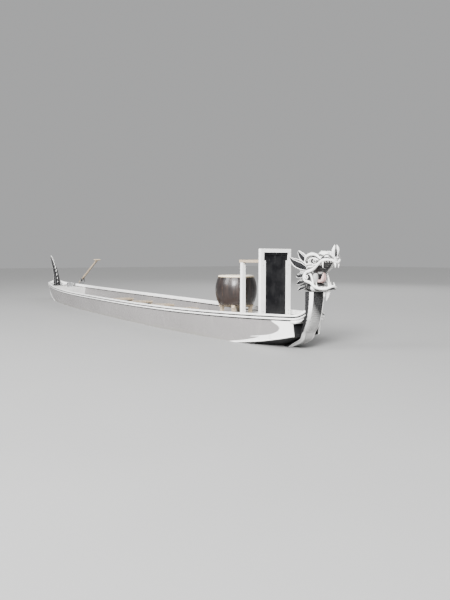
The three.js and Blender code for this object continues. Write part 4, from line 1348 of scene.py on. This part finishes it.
def make_seat_trim():
    low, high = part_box("seat_panel")
    front = high.x + 0.0004
    battens = []
    for z, half in ((low.z + 0.016, LEG_INSIDE), (high.z - 0.016, STILE_INSIDE)):
        battens.append(block((front, -half, z - 0.012), (high.x + 0.009, half, z + 0.012)))
    soften_edges(piece("seat_panel_battens", battens, PANEL), 0.002)
    bolts = []
    for side, sign in SIDES:
        low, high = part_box(f"seat_post_front_{side}")
        for z in (low.z + 0.035, low.z + 0.075, low.z + 0.56):
            bolts.append(stud((high.x, sign * (SEAT_HALF - 0.03), z), (1, 0, 0), *SEAT_BOLT))
        low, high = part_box(f"seat_post_rear_{side}")
        for z in (low.z + 0.035, high.z - 0.03):
            bolts.append(stud((low.x, (low.y + high.y) / 2, z), (-1, 0, 0), *SEAT_BOLT))
    piece("seat_bolts", bolts, STEEL)
    feet = []
    for name in SEAT_POSTS:
        low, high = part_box(name)
        feet.append(block((low.x - 0.012, low.y - 0.01, low.z),
                          (high.x + 0.012, high.y + 0.01, low.z + 0.004)))
    soften_edges(piece("seat_foot_plates", feet, STEEL), 0.0015)


# Drum
TACKS = 44
DRUM_SIDES = 80
DRUM_FULLNESS = 2.1
STAVE_GROOVE = 0.001


def drum_point(a, radius, z):
    return drum_centre.x + radius * math.cos(a), drum_centre.y + radius * math.sin(a), z


def make_drum():
    head_low, head_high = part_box("drum_head")
    rim = (head_high.x - head_low.x) / 2 - 0.004
    bulge = (drum_high.x - drum_low.x) / 2
    half = (drum_high.z - drum_low.z) / 2
    rings = []
    for share in np.linspace(-1, 1, 33):
        radius = rim + (bulge - rim) * (1 - abs(share) ** DRUM_FULLNESS)
        z = drum_centre.z + share * half
        ring = []
        for k in range(DRUM_SIDES):
            groove = STAVE_GROOVE if k % (DRUM_SIDES // STAVES) == 0 else 0.0
            ring.append(drum_point(2 * math.pi * k / DRUM_SIDES, radius - groove, z))
        rings.append(ring)
    piece("drum_barrel", [loft(rings)], LACQUER, stands_for=["drum_shell"], sharp=60)
    rings = []
    lap = [(rim + 0.0035, -0.03), (rim + 0.0055, -0.014), (rim + 0.005, 0.0), (rim + 0.0025, 0.005),
           (rim - 0.006, 0.0066), (rim * 0.6, 0.0072), (rim * 0.3, 0.0076), (0.002, 0.0078)]
    for radius, up in lap:
        frill = 1 if up < -0.02 else 0
        ring = []
        for a in turns(72):
            x, _, z = drum_point(a, radius * (1 + 0.004 * frill * math.sin(7 * a)), drum_top + up)
            ring.append((x, drum_centre.y + radius * math.sin(a), z + 0.003 * frill * math.sin(9 * a)))
        rings.append(ring)
    piece("drum_hide", [loft(rings)], HIDE, stands_for=["drum_head"], sharp=70)
    tacks = []
    rows = [(0.005, drum_top - 0.012, 0, TACK), (0.0075, drum_top - 0.04, 0.5, SMALL_TACK),
            (0.001, drum_low.z + 0.012, 0, TACK)]
    for out, z, phase, tack in rows:
        for k in range(TACKS):
            a = 2 * math.pi * (k + phase) / TACKS
            tacks.append(stud(drum_point(a, rim + out, z), (math.cos(a), math.sin(a), 0), *tack))
    piece("drum_tacks", tacks, BRASS)


# Steering oar, made along X through the oarlock and leaned to its pitch
OARLOCK = (-3.76, 0.44, 0.446)
OAR_INBOARD = 1.05
OAR_OUTBOARD = 1.9
BLADE_LONG = 0.72
OAR_RADIUS = 0.023
COLLAR_RADIUS = 0.027
TIP_LINE = 0.022
NECK_OF_BLADE = 0.045


def on_oar(part):
    """Moves a part from the oar's own line to its place."""
    points, faces = part
    c = math.cos(OAR_PITCH)
    s = math.sin(OAR_PITCH)
    lock_x, lock_y, lock_z = OARLOCK
    return [(lock_x + x * c - z * s, lock_y + y, lock_z + x * s + z * c) for x, y, z in points], faces


# Blade rows: distance from the tip, half width, half thickness
BLADE_ROWS = mm([
    (0, 80, 4), (6, 92, 6.2), (30, 97.5, 7.8), (200, 96, 8.5), (380, 92, 9.5), (500, 82, 11.5),
    (580, 64, 14.5), (650, 42, 18.5), (700, 27, 21.5), (720, 23.5, 22.8),
])
# Blade section: share of the half width, share of the half thickness, and tone
BLADE_EDGE = [
    (-1.0, 0.0, 1), (-0.985, 0.75, 1), (-0.93, 1.0, 1), (-0.84, 1.0, 1), (-0.81, 0.82, 0), (-0.35, 0.92, 0),
    (-0.09, 1.0, 0), (-0.065, 1.18, 1),
]
BLADE_OTHER_EDGE = [(-across, high, tone) for across, high, tone in BLADE_EDGE[::-1]]
BLADE_SECTION = round_section(BLADE_EDGE + BLADE_OTHER_EDGE)


def make_steering_oar():
    rings = []
    tones = []
    for back, wide, thick in smooth_line(BLADE_ROWS, 60):
        x = back - OAR_OUTBOARD
        thin = min(1.0, 0.86 + back)
        rings.append([(x, high * thick * thin, across * wide) for across, high, _ in BLADE_SECTION])
        tones += [float(wide > NECK_OF_BLADE and (back < TIP_LINE or tone)) for _, _, tone in BLADE_SECTION]
    mesh = raw_mesh("oar_blade", [on_oar(loft(rings))])
    mark(mesh, "tone", tones)
    piece("oar_blade", mesh, BLADE, "steering_oar", ["steering_oar_blade"], sharp=60)
    root = BLADE_LONG - OAR_OUTBOARD
    rows = [(x, 0, 0, OAR_RADIUS) for x in (root + 0.001, -0.5, 0.3, OAR_INBOARD - 0.14)]
    rows.append((OAR_INBOARD - 0.01, 0, 0, OAR_RADIUS * 0.94))
    shaft = on_oar(tube(rows, sides=28, steps=10))
    piece("oar_shaft", [shaft], OAR_WOOD, "steering_oar", ["steering_oar_shaft"])
    grip_x = OAR_INBOARD + 0.0163
    swell = ((-0.064, 0.0125), (-0.045, 0.0145), (0, 0.0158), (0.045, 0.0145), (0.064, 0.0125))
    grip = on_oar(tube([(grip_x, y, 0, radius) for y, radius in swell], sides=20))
    piece("oar_grip", [grip], OAR_WOOD, "steering_oar", ["steering_oar_handle"])
    collars = []
    for x in (-0.062, 0.062):
        rings = []
        for ahead, r in ((-0.008, OAR_RADIUS), (-0.006, COLLAR_RADIUS), (0.006, COLLAR_RADIUS),
                         (0.008, OAR_RADIUS)):
            rings.append([(x + ahead, r * math.cos(a), r * math.sin(a)) for a in turns(28)])
        collars.append(on_oar(loft(rings)))
    piece("oar_collars", collars, UNDERBODY, "steering_oar")


def make_arm_bolts():
    low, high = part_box("steering_arm")
    bolts = [stud((x, y, high.z), UP, *ARM_BOLT)
             for x in (low.x + 0.018, high.x - 0.018) for y in (low.y + 0.022, low.y + 0.085)]
    piece("arm_bolts", bolts, STEEL)


# Floor at the waterline, cut out where the open hull stands in it
FLOOR_REACH = 45.0
OPEN_FROM = -3.309
OPEN_TO = 2.709


def make_floor():
    xs = [-FLOOR_REACH, *np.linspace(OPEN_FROM, OPEN_TO, 61), FLOOR_REACH]
    points = []
    faces = []

    def quad(corners):
        start = len(points)
        points.extend(corners)
        faces.append(tuple(range(start, start + 4)))

    for a, b in zip(xs, xs[1:]):
        far = FLOOR_REACH
        if a < OPEN_FROM or b > OPEN_TO:
            quad([(a, -far, 0), (b, -far, 0), (b, far, 0), (a, far, 0)])
            continue
        half_a = side_half(a, 0) - SKIN / 2
        half_b = side_half(b, 0) - SKIN / 2
        quad([(a, half_a, 0), (b, half_b, 0), (b, far, 0), (a, far, 0)])
        quad([(a, -far, 0), (b, -far, 0), (b, -half_b, 0), (a, -half_a, 0)])
    mesh = bpy.data.meshes.new("floor")
    mesh.from_pydata(points, [], faces)
    mesh.materials.append(floor_paint())
    floor = placed("floor", mesh)


# Camera and light. The lens and place were worked out from the picture's rail, seat and rows.
CAMERA_PLACE = (7.99, -3.53, 0.9)
CAMERA_HEADING = (-0.829, 0.559)
FOCAL_PIXELS = 520
FRAME_HIGH = 600
HORIZON_ROW = 258.9
SENSOR = 36.0
CAMERA_REACH = 200


def make_camera():
    data = bpy.data.cameras.new("camera")
    data.sensor_width = SENSOR
    data.lens = FOCAL_PIXELS / FRAME_HIGH * SENSOR
    data.clip_end = CAMERA_REACH
    camera = placed("camera", data)
    pitch = math.atan2(FRAME_HIGH / 2 - HORIZON_ROW, FOCAL_PIXELS)
    heading = Vector((*CAMERA_HEADING, -math.tan(pitch))).normalized()
    camera.location = CAMERA_PLACE
    camera.rotation_mode = "QUATERNION"
    camera.rotation_quaternion = heading.to_track_quat("-Z", "Y")
    bpy.context.scene.camera = camera


# Each light: place, size and power
LIGHTS = [
    ((10.0, -7.5, 5.5), 3.5, 2900),
    ((2.0, -10.0, 6.5), 5.0, 1700),
    ((-3.0, 9.0, 7.0), 7.0, 600),
]
LIGHT_TARGET = Vector((1.5, 0.0, 0.4))
WIDE_LIGHT = 4.6
WIDE_LIGHT_RUNS = (-0.55, 0.62, -0.6)
WIDE_LIGHT_SPREAD = math.radians(35)
SKY_COLOUR = (0.93, 0.935, 0.94, 1)
SKY_STRENGTH = 0.48


def place_lamp(data, place, heading):
    lamp = placed(data.name, data)
    lamp.location = place
    lamp.rotation_mode = "QUATERNION"
    lamp.rotation_quaternion = heading.to_track_quat("-Z", "Y")


def make_lights():
    for number, (place, size, power) in enumerate(LIGHTS):
        data = bpy.data.lights.new(f"soft_light_{number}", "AREA")
        data.size = size
        data.energy = power
        place_lamp(data, place, LIGHT_TARGET - Vector(place))
    data = bpy.data.lights.new("wide_light", "SUN")
    data.energy = WIDE_LIGHT
    data.angle = WIDE_LIGHT_SPREAD
    place_lamp(data, (0, 0, 0), Vector(WIDE_LIGHT_RUNS))
    world = bpy.data.worlds.new("studio")
    world.use_nodes = True
    background = world.node_tree.nodes["Background"]
    background.inputs[0].default_value = SKY_COLOUR
    background.inputs[1].default_value = SKY_STRENGTH
    bpy.context.scene.world = world


make_camera()
make_lights()
make_floor()
finish_nodes()
make_hull_bottom()
for side_name, side_sign in SIDES:
    for make in (make_hull_side, make_chine_strip, make_rail, make_eye, make_mane):
        make(side_name, side_sign)
make_end_scrolls()
make_end_posts()
make_end_plate("bow_end_plate", 1)
make_end_plate("stern_end_plate", -1)
for make in (make_neck, make_tail, make_upper_head, make_lower_jaw, make_teeth, make_tongue, make_nose_horn,
             make_beard, make_bench_fittings, make_seat_trim, make_drum, make_steering_oar, make_arm_bolts):
    make()
